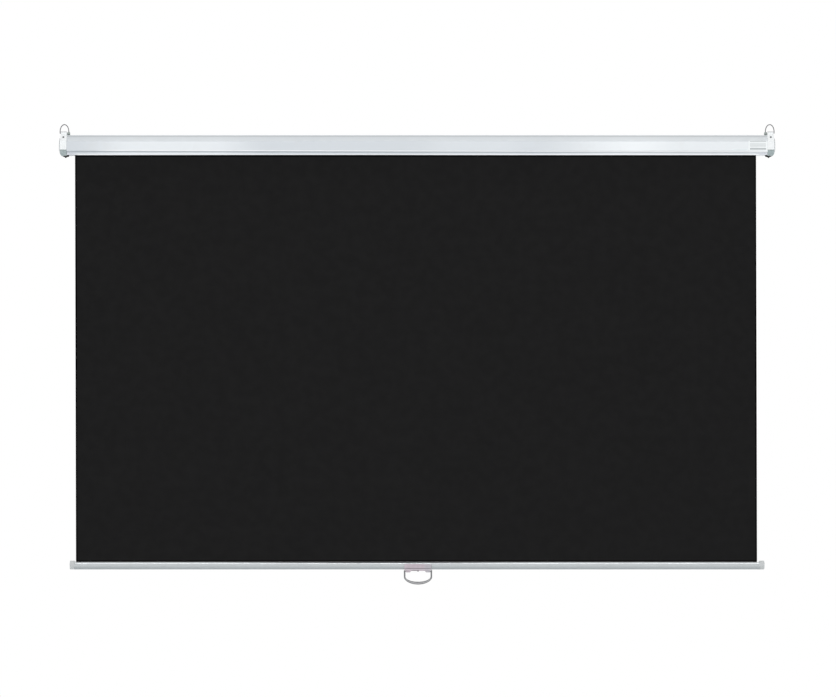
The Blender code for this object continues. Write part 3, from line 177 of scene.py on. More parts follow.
# Floor of the handle's channel, which is dark above a height
CHANNEL_COLOUR = (0.46, 0.46, 0.47)
CHANNEL_CLOUDS = (0.36, 0.36, 0.37)
CHANNEL_DARK = (0.22, 0.22, 0.225)
CHANNEL_TOP = (-1.442, -1.438)

# Metals: colour, darker grain, which is also painted on faces turned down as shade, roughness, how
# metallic, the grain's scale on each axis and, where it is given, the colour of a painted highlight on
# the crest
BRUSHED = (8, 900, 900)
EVEN = (300, 300, 300)
METALS = {
    "bar_metal": ((0.53, 0.56, 0.57), (0.43, 0.46, 0.47), 0.24, 0.45, BRUSHED, (0.92, 0.95, 0.97)),
    "steel": ((0.42, 0.43, 0.45), (0.28, 0.29, 0.30), 0.34, 1.0, EVEN),
    "tube_steel": ((0.46, 0.47, 0.48), (0.33, 0.34, 0.35), 0.38, 1.0, BRUSHED),
    "ring_steel": ((0.20, 0.20, 0.21), (0.10, 0.10, 0.11), 0.32, 0.9, EVEN),
    "barrel_steel": ((0.34, 0.38, 0.36), (0.26, 0.29, 0.28), 0.45, 0.4, EVEN),
    "dark_steel": ((0.07, 0.07, 0.075), (0.03, 0.03, 0.035), 0.42, 0.8, EVEN),
    "brass": ((0.68, 0.50, 0.23), (0.48, 0.34, 0.15), 0.36, 1.0, EVEN),
}
# Painted shade on faces turned down, and its strength
METAL_FACES_DOWN = (-0.25, -0.85)
DOWN_SHADE_STRENGTH = 0.8

# Painted highlight on the crest of the bar, and painted shade on the crown within it: the middle of the
# crown's shaded stretch, how far from there that ends, and how far the crown is matt and light
CREST_FACES_UP = (0.46, 0.74)
CREST_HIGHLIGHT_STRENGTH = 0.85
CROWN_FACES_UP = (0.66, 0.82)
CROWN_SHADE = (0.24, 0.25, 0.26)
CROWN_SHADE_STRENGTH = 0.8
CROWN_MIDDLE = -0.13
CROWN_TURNS = (0.05, 0.64)

# Rubber
RUBBER_COLOUR = (0.006, 0.007, 0.007)
RUBBER_CLOUDS = (0.020, 0.020, 0.019)

# Cloths: colour, lighter threads and clouds, and specular
CLOTHS = {
    "screen_cloth": ((0.0098, 0.0097, 0.0098), (0.0122, 0.0120, 0.0121), 0.10),
    "cloth_line": ((0.0010, 0.0010, 0.0013), (0.0018, 0.0018, 0.0020), 0.0),
}
WEAVE = 0.0006  # between threads

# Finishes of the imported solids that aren't plain steel
LOOKS = {
    "white_paint": ("case_housing",),
    "white_plastic": ("end_cap_left", "end_cap_right"),
    "grey_plastic": ("bar_cap_left", "bar_cap_right"),
    "clip_plastic": ("handle_clip",),
    "black_rubber": ("cap_foot_left", "cap_foot_right"),
    "bar_metal": ("weight_bar",),
    "tube_steel": ("roller_tube",),
    "barrel_steel": ("ring_barrel_left", "ring_barrel_right"),
    "dark_steel": ("facet_screw_left", "facet_screw_right", "clip_screw"),
    "brass": ("shaft_bush",),
    "nylon": (
        "spring_end_plug",
        "idle_end_plug",
        "idle_bush",
        "spring_collar",
        "steady_bush",
        "fabric_spline",
        "hem_rod",
    ),
}
FINISH_OF = {solid: finish for finish, solids in LOOKS.items() for solid in solids}

# Widths of rounded edges
ROUNDED = {
    "end_cap_left": 0.0007,
    "end_cap_right": 0.0007,
    "cap_foot_left": 0.0004,
    "cap_foot_right": 0.0004,
    "handle_clip": 0.0006,
}

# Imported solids
WELD = 0.000005
FLAT_ANGLE = math.radians(0.4)  # faces that differ less are one
SHARP_ANGLE = math.radians(28)

# Creases of the scene's own shapes, in degrees
CREASE = 30
CLOTH_CREASE = 35

# Cloth
CLOTH_THICKNESS = 0.0004
CLOTH_LEAN = (0.0014, -0.0020)  # sideways at the cloth's lower and upper edge
EDGE_WIDTH = 0.0048  # of the sealed line along each edge
CLOTH_COLUMNS = 24
CLOTH_ROWS = 30
SWEPT_COLUMNS = 12
RESERVE_TURNS = 2.25
RESERVE_GAP = 0.0004
TURN_STEPS = 72
HEM_STEPS = 40

# Stickers on the case's front: left, lowest, right and highest, and the paper's colour and clouds
LABEL = (1.1005, -0.0185, 1.1630, 0.0140)
LABEL_COLOURS = ((0.95, 0.98, 0.985), (0.90, 0.94, 0.945))
STRIP = (1.0470, -0.0190, 1.0985, -0.0125)
STRIP_COLOURS = ((0.88, 0.93, 0.95), (0.82, 0.87, 0.88))
STICKER_THICKNESS = 0.00012
STICKER_CORNER = 0.0015

# Their printed rules: share of the height, half width and strength
LABEL_RULES = (
    (0.169, 0.0040, 0.68),
    (0.458, 0.0021, 0.48),
    (0.597, 0.0015, 0.42),
    (0.732, 0.0014, 0.42),
    (0.937, 0.0018, 0.64),
)
STRIP_RULES = ((0.5, 0.0012, 0.22),)
RULE_COLOUR = (0.30, 0.33, 0.34)
RULE_REACH = (0.44, 0.42)  # from the middle, as shares of the sticker's width

# Rounded corners and edges
CORNER_STEPS = 4
QUARTER = [math.pi / 2 * step / CORNER_STEPS for step in range(CORNER_STEPS + 1)]

# Pull handle
STRAP_GRIP = 0.0088  # thickness of the grip, seen from the front
STRAP_LEG = 0.0052
STRAP_BAND = 0.54  # share of the thickness that the channel takes
STRAP_RIM = 0.0008
STRAP_STEPS = 96
STUB_RADIUS = 0.0016
STUB_REACH = 0.0132  # from the leg's middle into the clip
EYE_RADIUS = 0.0034
EYE_STEPS = 10
EYE_TOP = 0.97  # share of the quarter turn at which the eye is cut flat
LEG_LENGTH = 0.0175
LEG_DEPTH = 0.006

# Hanging rings
RING_BEND = 0.003
RING_STUB = 0.010  # from the outer leg into the tongue
RING_BEND_STEPS = 8
RING_STEPS = 72
WIRE_SIDES = 20


# Stage


def link_object(name, data):
    made = bpy.data.objects.new(name, data)
    bpy.context.scene.collection.objects.link(made)
    return made


def add_camera():
    data = bpy.data.cameras.new("camera")
    data.sensor_width = SENSOR
    data.lens = SENSOR * CAMERA_DISTANCE / VIEW_WIDTH
    data.clip_start, data.clip_end = CAMERA_CLIP
    camera = link_object("camera", data)
    low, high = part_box("screen_fabric")
    camera.location = (VIEW_X, (low.y + high.y) / 2 - CAMERA_DISTANCE, VIEW_Z)
    camera.rotation_euler = (math.pi / 2, 0, 0)
    bpy.context.scene.camera = camera


def add_lamp(name, place, aim, width, height, power, mirrored):
    data = bpy.data.lights.new(name, "AREA")
    data.shape = "RECTANGLE"
    data.size = width
    data.size_y = height
    data.energy = power
    lamp = link_object(name, data)
    lamp.location = place
    lamp.rotation_euler = (Vector(aim) - Vector(place)).to_track_quat("-Z", "Y").to_euler()
    lamp.visible_camera = False
    lamp.visible_glossy = mirrored


def white_to_eye(nodes, links, seen):
    """White where the camera, a reflection or glass looks, and another shader for the light."""
    path = nodes.new("ShaderNodeLightPath")
    either = nodes.new("ShaderNodeMath")
    either.operation = "MAXIMUM"
    any_of = nodes.new("ShaderNodeMath")
    any_of.operation = "MAXIMUM"
    links.new(path.outputs["Is Camera Ray"], either.inputs[0])
    links.new(path.outputs["Is Glossy Ray"], either.inputs[1])
    links.new(either.outputs[0], any_of.inputs[0])
    links.new(path.outputs["Is Transmission Ray"], any_of.inputs[1])
    white = nodes.new("ShaderNodeBackground")
    white.inputs["Color"].default_value = (1, 1, 1, 1)
    white.inputs["Strength"].default_value = 1.0
    mix = nodes.new("ShaderNodeMixShader")
    links.new(any_of.outputs[0], mix.inputs[0])
    links.new(seen, mix.inputs[1])
    links.new(white.outputs[0], mix.inputs[2])
    return mix.outputs[0]


def add_world():
    world = bpy.data.worlds.new("studio")
    bpy.context.scene.world = world
    world.use_nodes = True
    nodes, links = world.node_tree.nodes, world.node_tree.links
    nodes.clear()
    ambient = nodes.new("ShaderNodeBackground")
    ambient.inputs["Color"].default_value = (*AMBIENT_COLOUR, 1)
    ambient.inputs["Strength"].default_value = AMBIENT_STRENGTH
    out = nodes.new("ShaderNodeOutputWorld")
    links.new(white_to_eye(nodes, links, ambient.outputs[0]), out.inputs["Surface"])


def add_floor():
    mesh = bpy.data.meshes.new("floor")
    sides = ((-1, -1), (1, -1), (1, 1), (-1, 1))
    mesh.from_pydata([(a * FLOOR_SIZE, b * FLOOR_SIZE, FLOOR_Z) for a, b in sides], [], [(0, 1, 2, 3)])
    floor = link_object("floor", mesh)
    shade = Finish("pale_floor", FLOOR_COLOUR, roughness=0.9)
    shade.tint(FLOOR_CLOUDS, shade.noise(2.0, detail=3))
    mesh.materials.append(shade.material)


# Finishes


class Finish:
    """A material whose look comes from nodes, in metres over the object."""

    def __init__(self, name, colour, roughness, metallic=0.0, specular=0.5, uv=None):
        self.colour = colour
        self.material = bpy.data.materials.new(name)
        self.material.use_nodes = True
        self.nodes = self.material.node_tree.nodes
        self.links = self.material.node_tree.links
        self.shader = self.nodes["Principled BSDF"]
        self.shader.inputs["Base Color"].default_value = (*colour, 1)
        self.shader.inputs["Roughness"].default_value = roughness
        self.shader.inputs["Metallic"].default_value = metallic
        self.shader.inputs["Specular IOR Level"].default_value = specular
        if uv:
            source = self.nodes.new("ShaderNodeUVMap")
            source.uv_map = uv
            self.place = source.outputs["UV"]
        else:
            self.place = self.nodes.new("ShaderNodeTexCoord").outputs["Object"]

    def scaled(self, x, y, z):
        """The place with each axis stretched."""
        mapping = self.nodes.new("ShaderNodeMapping")
        mapping.inputs["Scale"].default_value = (x, y, z)
        self.links.new(self.place, mapping.inputs["Vector"])
        return mapping.outputs[0]

    def noise(self, scale, detail=2.0, place=None, distortion=0.0):
        node = self.nodes.new("ShaderNodeTexNoise")
        node.inputs["Scale"].default_value = scale
        node.inputs["Detail"].default_value = detail
        node.inputs["Distortion"].default_value = distortion
        self.links.new(place or self.place, node.inputs["Vector"])
        return node.outputs["Fac"]

    def ramp(self, value, low, high, start=0.0, end=1.0):
        """A value from low to high carried to start to end."""
        node = self.nodes.new("ShaderNodeMapRange")
        node.interpolation_type = "SMOOTHSTEP"
        node.inputs["From Min"].default_value = low
        node.inputs["From Max"].default_value = high
        node.inputs["To Min"].default_value = start
        node.inputs["To Max"].default_value = end
        self.links.new(value, node.inputs["Value"])
        return node.outputs["Result"]

    def math(self, operation, first, second=0.0):
        node = self.nodes.new("ShaderNodeMath")
        node.operation = operation
        for socket, value in zip(node.inputs, (first, second)):
            if isinstance(value, (int, float)):
                socket.default_value = value
            else:
                self.links.new(value, socket)
        return node.outputs[0]

    def times(self, first, second):
        return self.math("MULTIPLY", first, second)

    def away(self, value, middle):
        """How far a value lies from a middle."""
        return self.math("ABSOLUTE", self.math("SUBTRACT", value, middle))

    def parts(self, vector):
        node = self.nodes.new("ShaderNodeSeparateXYZ")
        self.links.new(vector, node.inputs[0])
        return node.outputs

    def normal(self):
        return self.parts(self.nodes.new("ShaderNodeNewGeometry").outputs["Normal"])

    def tint(self, other, amount):
        """Mixes another colour in where amount says."""
        node = self.nodes.new("ShaderNodeMix")
        node.data_type = "RGBA"
        base = self.shader.inputs["Base Color"]
        if base.is_linked:
            self.links.new(base.links[0].from_socket, node.inputs["A"])
        else:
            node.inputs["A"].default_value = (*self.colour, 1)
        node.inputs["B"].default_value = (*other, 1)
        self.links.new(amount, node.inputs["Factor"])
        self.links.new(node.outputs["Result"], base)

    def mottle(self, other, scale, detail, amount, low=0.35, high=0.70):
        """Clouds of another colour, from 0 to amount."""
        self.tint(other, self.ramp(self.noise(scale, detail), low, high, end=amount))

    def wear(self, other, scale, amount):
        """Scattered patches for handling marks, from 0 to amount."""
        patches = self.noise(scale, detail=6, distortion=0.3)
        self.tint(other, self.ramp(patches, 0.56, 0.74, end=amount))

    def rough(self, value, low, high):
        """Roughness from low to high as value runs over its middle range."""
        self.links.new(self.ramp(value, 0.3, 0.7, low, high), self.shader.inputs["Roughness"])

    def bump(self, height, distance):
        node = self.nodes.new("ShaderNodeBump")
        node.inputs["Strength"].default_value = 1.0
        node.inputs["Distance"].default_value = distance
        self.links.new(height, node.inputs["Height"])
        self.links.new(node.outputs["Normal"], self.shader.inputs["Normal"])


def white_paint():
    """Satin enamel on the rolled case, with broad soft painted sheens and a few painted shade and
    highlight lines along it.
    """
    shade = Finish("white_paint", CASE_COLOUR, roughness=0.34)
    along, _, height = shade.parts(shade.place)
    _, before, above = shade.normal()
    # Painted sheens: lighter colour standing in for reflections along the case, weaker on the sloping
    # top
    upright = shade.ramp(above, *SLOPE_BEGINS, start=1.0, end=SLOPE_SHEEN)
    below_slope = shade.ramp(height, *FRONT_TOP, start=1.0, end=SLOPE_SHEEN)
    upright = shade.math("MINIMUM", upright, below_slope)
    for middle, reach, strength in SHEENS:
        sheen = shade.ramp(shade.away(along, middle), reach, reach / 3, end=strength)
        shade.tint(SHEEN_COLOUR, shade.times(upright, sheen))
    shade.mottle(CASE_CLOUDS, scale=1.6, detail=2, amount=0.3, low=0.45)
    # Painted shade on the sloping top edge
    slope = shade.times(shade.ramp(above, *SLOPE_BEGINS), shade.ramp(above, *SLOPE_ENDS))
    shade.tint(SLOPE_SHADE, shade.times(slope, SLOPE_SHADE_STRENGTH))

    # Painted shade and highlight lines: darker near the top edge and in the groove, lighter at the
    # front face's lower edge and low on the lip
    front = shade.ramp(before, *CASE_FACES_FRONT)
    for top, low, colour, strength, slant, start in SHADE_AND_HIGHLIGHT_LINES:
        level = shade.math("ADD", height, shade.times(along, slant))
        band = shade.times(shade.ramp(level, *top), shade.ramp(level, *low))
        band = shade.times(band, shade.ramp(along, start, start + SHADE_AND_HIGHLIGHT_FADE))
        shade.tint(colour, shade.times(band, shade.times(front, strength)))

    # Painted shadow along the lip's lower edge, over part of its length
    under = shade.times(shade.ramp(height, *LIP_UNDER), shade.ramp(before, *LIP_FACES_FRONT))
    length = shade.ramp(shade.away(along, LIP_MIDDLE), *LIP_LENGTH, end=LIP_SHADOW_STRENGTH)
    shade.tint(LIP_SHADOW, shade.times(under, length))
    # Painted shade under the lip's left end, and on the lip's ends beyond the cloth
    shade.tint(LIP_LEFT_SHADE, shade.times(under, shade.ramp(along, *LIP_LEFT)))
    beyond = shade.ramp(shade.math("ABSOLUTE", along), *LIP_BEYOND_CLOTH, end=LIP_END_SHADE_STRENGTH)
    lip = shade.times(front, shade.ramp(height, *LIP_TOP))
    shade.tint(LIP_END_SHADE, shade.times(lip, beyond))

    shade.wear(CASE_WEAR, scale=22, amount=0.10)
    shade.rough(shade.noise(60, detail=4), low=0.28, high=0.40)
    shade.bump(shade.noise(900, detail=2), distance=0.00003)
    return shade.material


def white_plastic():
    """Moulded caps: near-white, with painted shade on the sloping front below and inside the side and
    top edges, and fine mould texture.
    """
    shade = Finish("white_plastic", CAP_COLOUR, roughness=0.42)
    across, _, height = shade.parts(shade.place)
    aside, before, above = shade.normal()
    # Painted shade on faces turned down: the front facet, darker at its fold, and the flanks
    down = shade.ramp(above, *FACET_FACES_DOWN)
    facet = shade.times(shade.ramp(before, *FACET_FACES_FRONT), down)
    shade.tint(FACET_SHADE, facet)
    shade.tint(FOLD_SHADE, shade.times(facet, shade.ramp(height, *FOLD_HEIGHT)))
    flank = shade.ramp(shade.math("ABSOLUTE", aside), *FLANK_FACES_ASIDE)
    shade.tint(FLANK_SHADE, shade.times(flank, shade.times(down, FLANK_SHADE_STRENGTH)))
    # Painted shade just inside the cap's side and top edges
    side = shade.math("ABSOLUTE", across)
    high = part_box("end_cap_right")[1]
    start, full = CAP_EDGE_SHADE
    for value, edge, colour in ((side, high.x, SIDE_EDGE_SHADE), (height, high.z, TOP_EDGE_SHADE)):
        shade.tint(colour, shade.ramp(value, edge - start, edge - full, end=CAP_EDGE_SHADE_STRENGTH))
    shade.wear(CAP_WEAR, scale=55, amount=0.20)
    shade.rough(shade.noise(120, detail=3), low=0.36, high=0.50)
    shade.bump(shade.noise(1800, detail=3), distance=0.00002)
    return shade.material


def moulded(shade):
    """Ends a grey plastic with the fine texture of its mould."""
    shade.rough(shade.noise(150, detail=3), low=0.34, high=0.50)
    shade.bump(shade.noise(2200, detail=3), distance=0.00002)
    return shade.material


def plain_plastic(name, colour, dark):
    shade = Finish(name, colour, roughness=0.42)
    shade.mottle(dark, scale=90, detail=4, amount=0.5)
    shade.wear(dark, scale=130, amount=0.4)
    return moulded(shade)


def clip_plastic():
    """The handle clip: pinkish grey, greyer to the right, with painted shade and highlight lines and a
    painted shadow at its right end.
    """
    shade = Finish("clip_plastic", CLIP_COLOUR, roughness=0.40)
    along, _, height = shade.parts(shade.place)
    shade.tint(CLIP_GREY, shade.ramp(along, *CLIP_GREYER))
    shade.mottle(CLIP_CLOUDS, scale=120, detail=4, amount=0.45)
    # Painted shade and highlight lines across the clip's front
    front = shade.ramp(shade.normal()["Y"], *CLIP_FACES_FRONT)
    for level, half, (left, right), colour, strength in CLIP_SHADE_LINES:
        line = shade.ramp(shade.away(height, level), half, half / 2, end=strength)
        begun = shade.ramp(along, left, left + CLIP_SHADE_LINE_FADE)
        within = shade.times(begun, shade.ramp(along, right, right - CLIP_SHADE_LINE_FADE))
        shade.tint(colour, shade.times(shade.times(line, front), within))
    # Painted shadow at the clip's right end
    shade.tint(CLIP_END_SHADOW, shade.ramp(along, *CLIP_RIGHT_END, end=CLIP_END_SHADOW_STRENGTH))
    return moulded(shade)


def channel_plastic():
    """The floor of the handle's channel: dark on the legs and paler along the grip."""
    shade = Finish("handle_channel", CHANNEL_COLOUR, roughness=0.42)
    shade.mottle(CHANNEL_CLOUDS, scale=90, detail=4, amount=0.5)
    shade.tint(CHANNEL_DARK, shade.ramp(shade.parts(shade.place)["Z"], *CHANNEL_TOP))
    return moulded(shade)


def metal(name, colour, dark, roughness, metallic, grain_scale, crest_highlight=None):
    """Metal with an even or a brushed grain, painted shade on faces turned down, and a painted
    highlight on its crest and painted shade on its crown where that is given.
    """
    shade = Finish(name, colour, roughness, metallic)
    grain = shade.noise(1.0, detail=3, place=shade.scaled(*grain_scale))
    shade.tint(dark, shade.ramp(grain, 0.35, 0.70, end=0.45))
    shade.wear(dark, scale=35, amount=0.35)
    above = shade.normal()["Z"]
    # Painted shade: faces turned down take the darker colour
    shade.tint(dark, shade.ramp(above, *METAL_FACES_DOWN, end=DOWN_SHADE_STRENGTH))
    if crest_highlight:
        # Painted highlight on the crest, and painted shade along the middle of the crown; the crown's
        # ends are made less metallic
        shade.tint(crest_highlight, shade.ramp(above, *CREST_FACES_UP, end=CREST_HIGHLIGHT_STRENGTH))
        away = shade.away(shade.parts(shade.place)["X"], CROWN_MIDDLE)
        crown = shade.ramp(above, *CROWN_FACES_UP)
        crown_shade_mask = shade.ramp(away, *reversed(CROWN_TURNS), end=CROWN_SHADE_STRENGTH)
        shade.tint(CROWN_SHADE, shade.times(crown, crown_shade_mask))
        matt = shade.times(crown, shade.ramp(away, *CROWN_TURNS))
        polish = shade.ramp(matt, 0.0, 1.0, start=metallic, end=0.0)
        shade.links.new(polish, shade.shader.inputs["Metallic"])
    shade.rough(grain, low=roughness - 0.07, high=roughness + 0.10)
    shade.bump(grain, distance=0.00001)
    return shade.material


def rubber():
    shade = Finish("black_rubber", RUBBER_COLOUR, roughness=0.65, specular=0.15)
    shade.mottle(RUBBER_CLOUDS, scale=240, detail=4, amount=0.8, low=0.45, high=0.75)
    shade.rough(shade.noise(400, detail=3), low=0.55, high=0.78)
    shade.bump(shade.noise(1500, detail=3), distance=0.00004)
    return shade.material


def coated_cloth(name, colour, other, specular):
    """Coated screen cloth: a fine plain weave under a dull coating."""
    shade = Finish(name, colour, roughness=0.85, specular=specular, uv="cloth")
    u, v, _ = shade.parts(shade.place)
    turn = math.tau / (2 * WEAVE)
    warp = shade.math("SINE", shade.times(u, turn))
    weft = shade.math("SINE", shade.times(v, turn))
    weave = shade.times(warp, weft)
    shade.mottle(other, scale=6, detail=5, amount=0.3, high=0.75)
    shade.tint(other, shade.ramp(weave, -1.0, 1.0, end=0.35))
    shade.rough(shade.noise(30, detail=4), low=0.78, high=0.92)
    shade.bump(weave, distance=0.00003)
    return shade.material


def paper(name, colour, other, place, rules):
    """Sticker paper with a few plain grey rules across it."""
    shade = Finish(name, colour, roughness=0.38)
    shade.mottle(other, scale=70, detail=5, amount=0.7, low=0.40, high=0.75)
    along, _, height = shade.parts(shade.place)
    left, low, right, high = place
    width = right - left
    away = shade.away(along, left + width / 2)
    within = shade.ramp(away, *(width * share for share in RULE_REACH))
    for share, half, strength in rules:
        off = shade.away(height, low + (high - low) * share)
        line = shade.ramp(off, half, half / 2, end=strength)
        shade.tint(RULE_COLOUR, shade.times(line, within))
    shade.rough(shade.noise(200, detail=3), low=0.32, high=0.48)
    shade.bump(shade.noise(2500, detail=2), distance=0.00001)
    return shade.material


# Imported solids


def edge_group():
    """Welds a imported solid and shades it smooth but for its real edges."""
    group = bpy.data.node_groups.new("smooth_but_edges", "GeometryNodeTree")
    for way in ("INPUT", "OUTPUT"):
        group.interface.new_socket("Geometry", in_out=way, socket_type="NodeSocketGeometry")
    start = group.nodes.new("NodeGroupInput")
    end = group.nodes.new("NodeGroupOutput")
    drop = group.nodes.new("GeometryNodeRemoveAttribute")
    drop.inputs["Name"].default_value = "custom_normal"
    weld = group.nodes.new("GeometryNodeMergeByDistance")
    weld.inputs["Distance"].default_value = WELD
    faces = group.nodes.new("GeometryNodeSetShadeSmooth")
    faces.domain = "FACE"
    edges = group.nodes.new("GeometryNodeSetShadeSmooth")
    edges.domain = "EDGE"
    edges.inputs["Shade Smooth"].default_value = False
    angle = group.nodes.new("GeometryNodeInputMeshEdgeAngle")
    sharp = group.nodes.new("FunctionNodeCompare")
    sharp.data_type = "FLOAT"
    sharp.operation = "GREATER_THAN"
    sharp.inputs["B"].default_value = SHARP_ANGLE
    chain = (start, drop, weld, faces, edges, end)
    for first, second in zip(chain, chain[1:]):
        group.links.new(first.outputs[0], second.inputs[0])
    group.links.new(angle.outputs["Unsigned Angle"], sharp.inputs["A"])
    group.links.new(sharp.outputs["Result"], edges.inputs["Selection"])
    return group


def dress(name, material, round_edges):
    """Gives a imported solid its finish, smooth shading and, where asked, softly rounded edges."""
    node = NODES[name]
    node.data.materials.clear()
    node.data.materials.append(material)
    smooth = node.modifiers.new("smooth", "NODES")
    smooth.node_group = SMOOTH
    if round_edges:
        flat = node.modifiers.new("flat", "DECIMATE")
        flat.decimate_type = "DISSOLVE"
        flat.angle_limit = FLAT_ANGLE
        bevel = node.modifiers.new("rounded", "BEVEL")
        bevel.width = round_edges
        bevel.segments = 2
        bevel.limit_method = "ANGLE"
        bevel.angle_limit = SHARP_ANGLE
        bevel.harden_normals = True


# Shapes


def steps_between(values, count):
    """Places from the first to the last value, with every given value among them."""
    places = []
    for low, high in zip(values, values[1:]):
        parts = max(1, round((high - low) / (values[-1] - values[0]) * count))
        places += [low + (high - low) * i / parts for i in range(parts)]
    return places + [values[-1]]


def join_rings(shape, rings):
    """Faces between neighbouring rings, which have the same number of points."""
    count = len(rings[0])
    for first, second in zip(rings, rings[1:]):
        for i in range(count):
            j = (i + 1) % count
            shape.faces.new((first[i], first[j], second[j], second[i]))


def close_rings(shape, rings):
    """A closed skin over rings, with flat ends."""
    join_rings(shape, rings)
    shape.faces.new(rings[0][::-1])
    shape.faces.new(rings[-1])
    bmesh.ops.recalc_face_normals(shape, faces=shape.faces)


def object_from(name, shape, material, crease):
    """An object made of a finished shape, smooth but for its creases."""
    mesh = bpy.data.meshes.new(name)
    shape.to_mesh(mesh)
    shape.free()
    mesh.shade_smooth()
    mesh.set_sharp_from_angle(angle=math.radians(crease))
    mesh.materials.append(material)
    return link_object(name, mesh)


def skin(name, rings, material):
    """A closed object through rings of points, with flat ends."""
    shape = bmesh.new()
    close_rings(shape, [[shape.verts.new(point) for point in ring] for ring in rings])
    return object_from(name, shape, material, CREASE)


def round_wire(path, radius, y):
    """Rings of a round wire along a path of (x, z) points at one depth."""
    rings = []
    for i, (x, z) in enumerate(path):
        before = Vector(path[max(i - 1, 0)])
        after = Vector(path[min(i + 1, len(path) - 1)])
        way = (after - before).normalized()
        ring = []
        for k in range(WIRE_SIDES):
            angle = math.tau * k / WIRE_SIDES
            out = radius * math.cos(angle)
            ring.append((x - way.y * out, y + radius * math.sin(angle), z + way.x * out))
        rings.append(ring)
    return rings


def fuse(target, other):
    """Joins another closed mesh into the target, and drops the other."""
    union = target.modifiers.new("fuse", "BOOLEAN")
    union.operation = "UNION"
    union.solver = "EXACT"
    union.object = other
    bpy.context.view_layer.update()
    seen = target.evaluated_get(bpy.context.evaluated_depsgraph_get())
    mesh = bpy.data.meshes.new_from_object(seen)
    target.modifiers.remove(union)
    target.data = mesh
    bpy.data.objects.remove(other)


# Cloth


def make_screen_cloth():
    """The drawn-down cloth, with a sealed line along its four edges. It hangs a little askew."""
    low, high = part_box("screen_fabric")
    left, right = low.x, high.x
    bottom, top = low.z, high.z
    case_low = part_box("case_housing")[0].z
    xs = steps_between([left, left + EDGE_WIDTH, right - EDGE_WIDTH, right], CLOTH_COLUMNS)
    zs = steps_between([bottom, bottom + EDGE_WIDTH, case_low - EDGE_WIDTH, case_low, top], CLOTH_ROWS)

    def sealed(x, z):
        """True on the line along the edges."""
        return min(x - left, right - x, z - bottom, abs(case_low - z)) < EDGE_WIDTH

    def lean(z):
        """How far sideways the cloth hangs at a height."""
        return CLOTH_LEAN[0] + (CLOTH_LEAN[1] - CLOTH_LEAN[0]) * (z - bottom) / (top - bottom)

    shape = bmesh.new()
    uv = shape.loops.layers.uv.new("cloth")
    middle = (low.y + high.y) / 2
    half = CLOTH_THICKNESS / 2
    skins = []
    for offset in (-half, half):
        skins.append([[shape.verts.new((x + lean(z), middle + offset, z)) for x in xs] for z in zs])
    front, back = skins
    columns, rows = len(xs), len(zs)
    for j in range(rows - 1):
        for i in range(columns - 1):
            line = sealed((xs[i] + xs[i + 1]) / 2, (zs[j] + zs[j + 1]) / 2)
            a = shape.faces.new((front[j][i], front[j][i + 1], front[j + 1][i + 1], front[j + 1][i]))
            b = shape.faces.new((back[j][i], back[j + 1][i], back[j + 1][i + 1], back[j][i + 1]))
            a.material_index = b.material_index = 1 if line else 0
    for j in range(rows - 1):
        shape.faces.new((front[j][0], front[j + 1][0], back[j + 1][0], back[j][0]))
        shape.faces.new((front[j][-1], back[j][-1], back[j + 1][-1], front[j + 1][-1]))
    for i in range(columns - 1):
        shape.faces.new((front[0][i], back[0][i], back[0][i + 1], front[0][i + 1]))
        shape.faces.new((front[-1][i], front[-1][i + 1], back[-1][i + 1], back[-1][i]))
    for face in shape.faces:
        for loop in face.loops:
            loop[uv].uv = (loop.vert.co.x - lean(loop.vert.co.z), loop.vert.co.z)
    mesh = bpy.data.meshes.new("screen_cloth")
    shape.to_mesh(mesh)
    shape.free()
    mesh.materials.append(MATERIALS["screen_cloth"])
    mesh.materials.append(MATERIALS["cloth_line"])
    cloth = link_object("screen_cloth", mesh)
    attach(cloth, "case")
    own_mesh(cloth)
    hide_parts("screen_fabric")


def swept_rings(shape, outline, xs, runs):
    """Rings of an outline of (y, z, run) points at each of xs. A run is a place along the cloth."""
    rings = []
    for x in xs:
        ring = [shape.verts.new((x, y, z)) for y, z, _ in outline]
        runs.update({vert: run for vert, (_, _, run) in zip(ring, outline)})
        rings.append(ring)
    return rings


def cloth_from(name, shape, uv, runs, material):
    """An object made of a closed shape of cloth, mapped by X and by each point's run."""
    for face in shape.faces:
        for loop in face.loops:
            loop[uv].uv = (loop.vert.co.x, runs[loop.vert])
    return object_from(name, shape, material, CLOTH_CREASE)


def make_cloth_roll():
    """The turns that stay on the roller."""
    tube_low, tube_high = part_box("roller_tube")
    low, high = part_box("wound_fabric")
    centre_y = (tube_low.y + tube_high.y) / 2
    centre_z = (tube_low.z + tube_high.z) / 2
    outer = centre_y - low.y - CLOTH_THICKNESS / 2
    pitch = CLOTH_THICKNESS + RESERVE_GAP
    steps = round(RESERVE_TURNS * TURN_STEPS)
    edges = ([], [])
    for i in range(steps + 1):
        angle = math.tau * RESERVE_TURNS * i / steps
        radius = outer - pitch * RESERVE_TURNS * i / steps
        for edge, side in zip(edges, (1, -1)):
            r = radius + side * CLOTH_THICKNESS / 2
            y = centre_y - r * math.cos(angle)
            edge.append((y, centre_z + r * math.sin(angle), radius * angle))
    shape = bmesh.new()
    uv = shape.loops.layers.uv.new("cloth")
    xs = steps_between([low.x, high.x], SWEPT_COLUMNS)
    runs = {}
    close_rings(shape, swept_rings(shape, edges[0] + edges[1][::-1], xs, runs))
    roll = cloth_from("cloth_roll", shape, uv, runs, MATERIALS["screen_cloth"])
    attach(roll, "roller")
    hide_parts("wound_fabric")


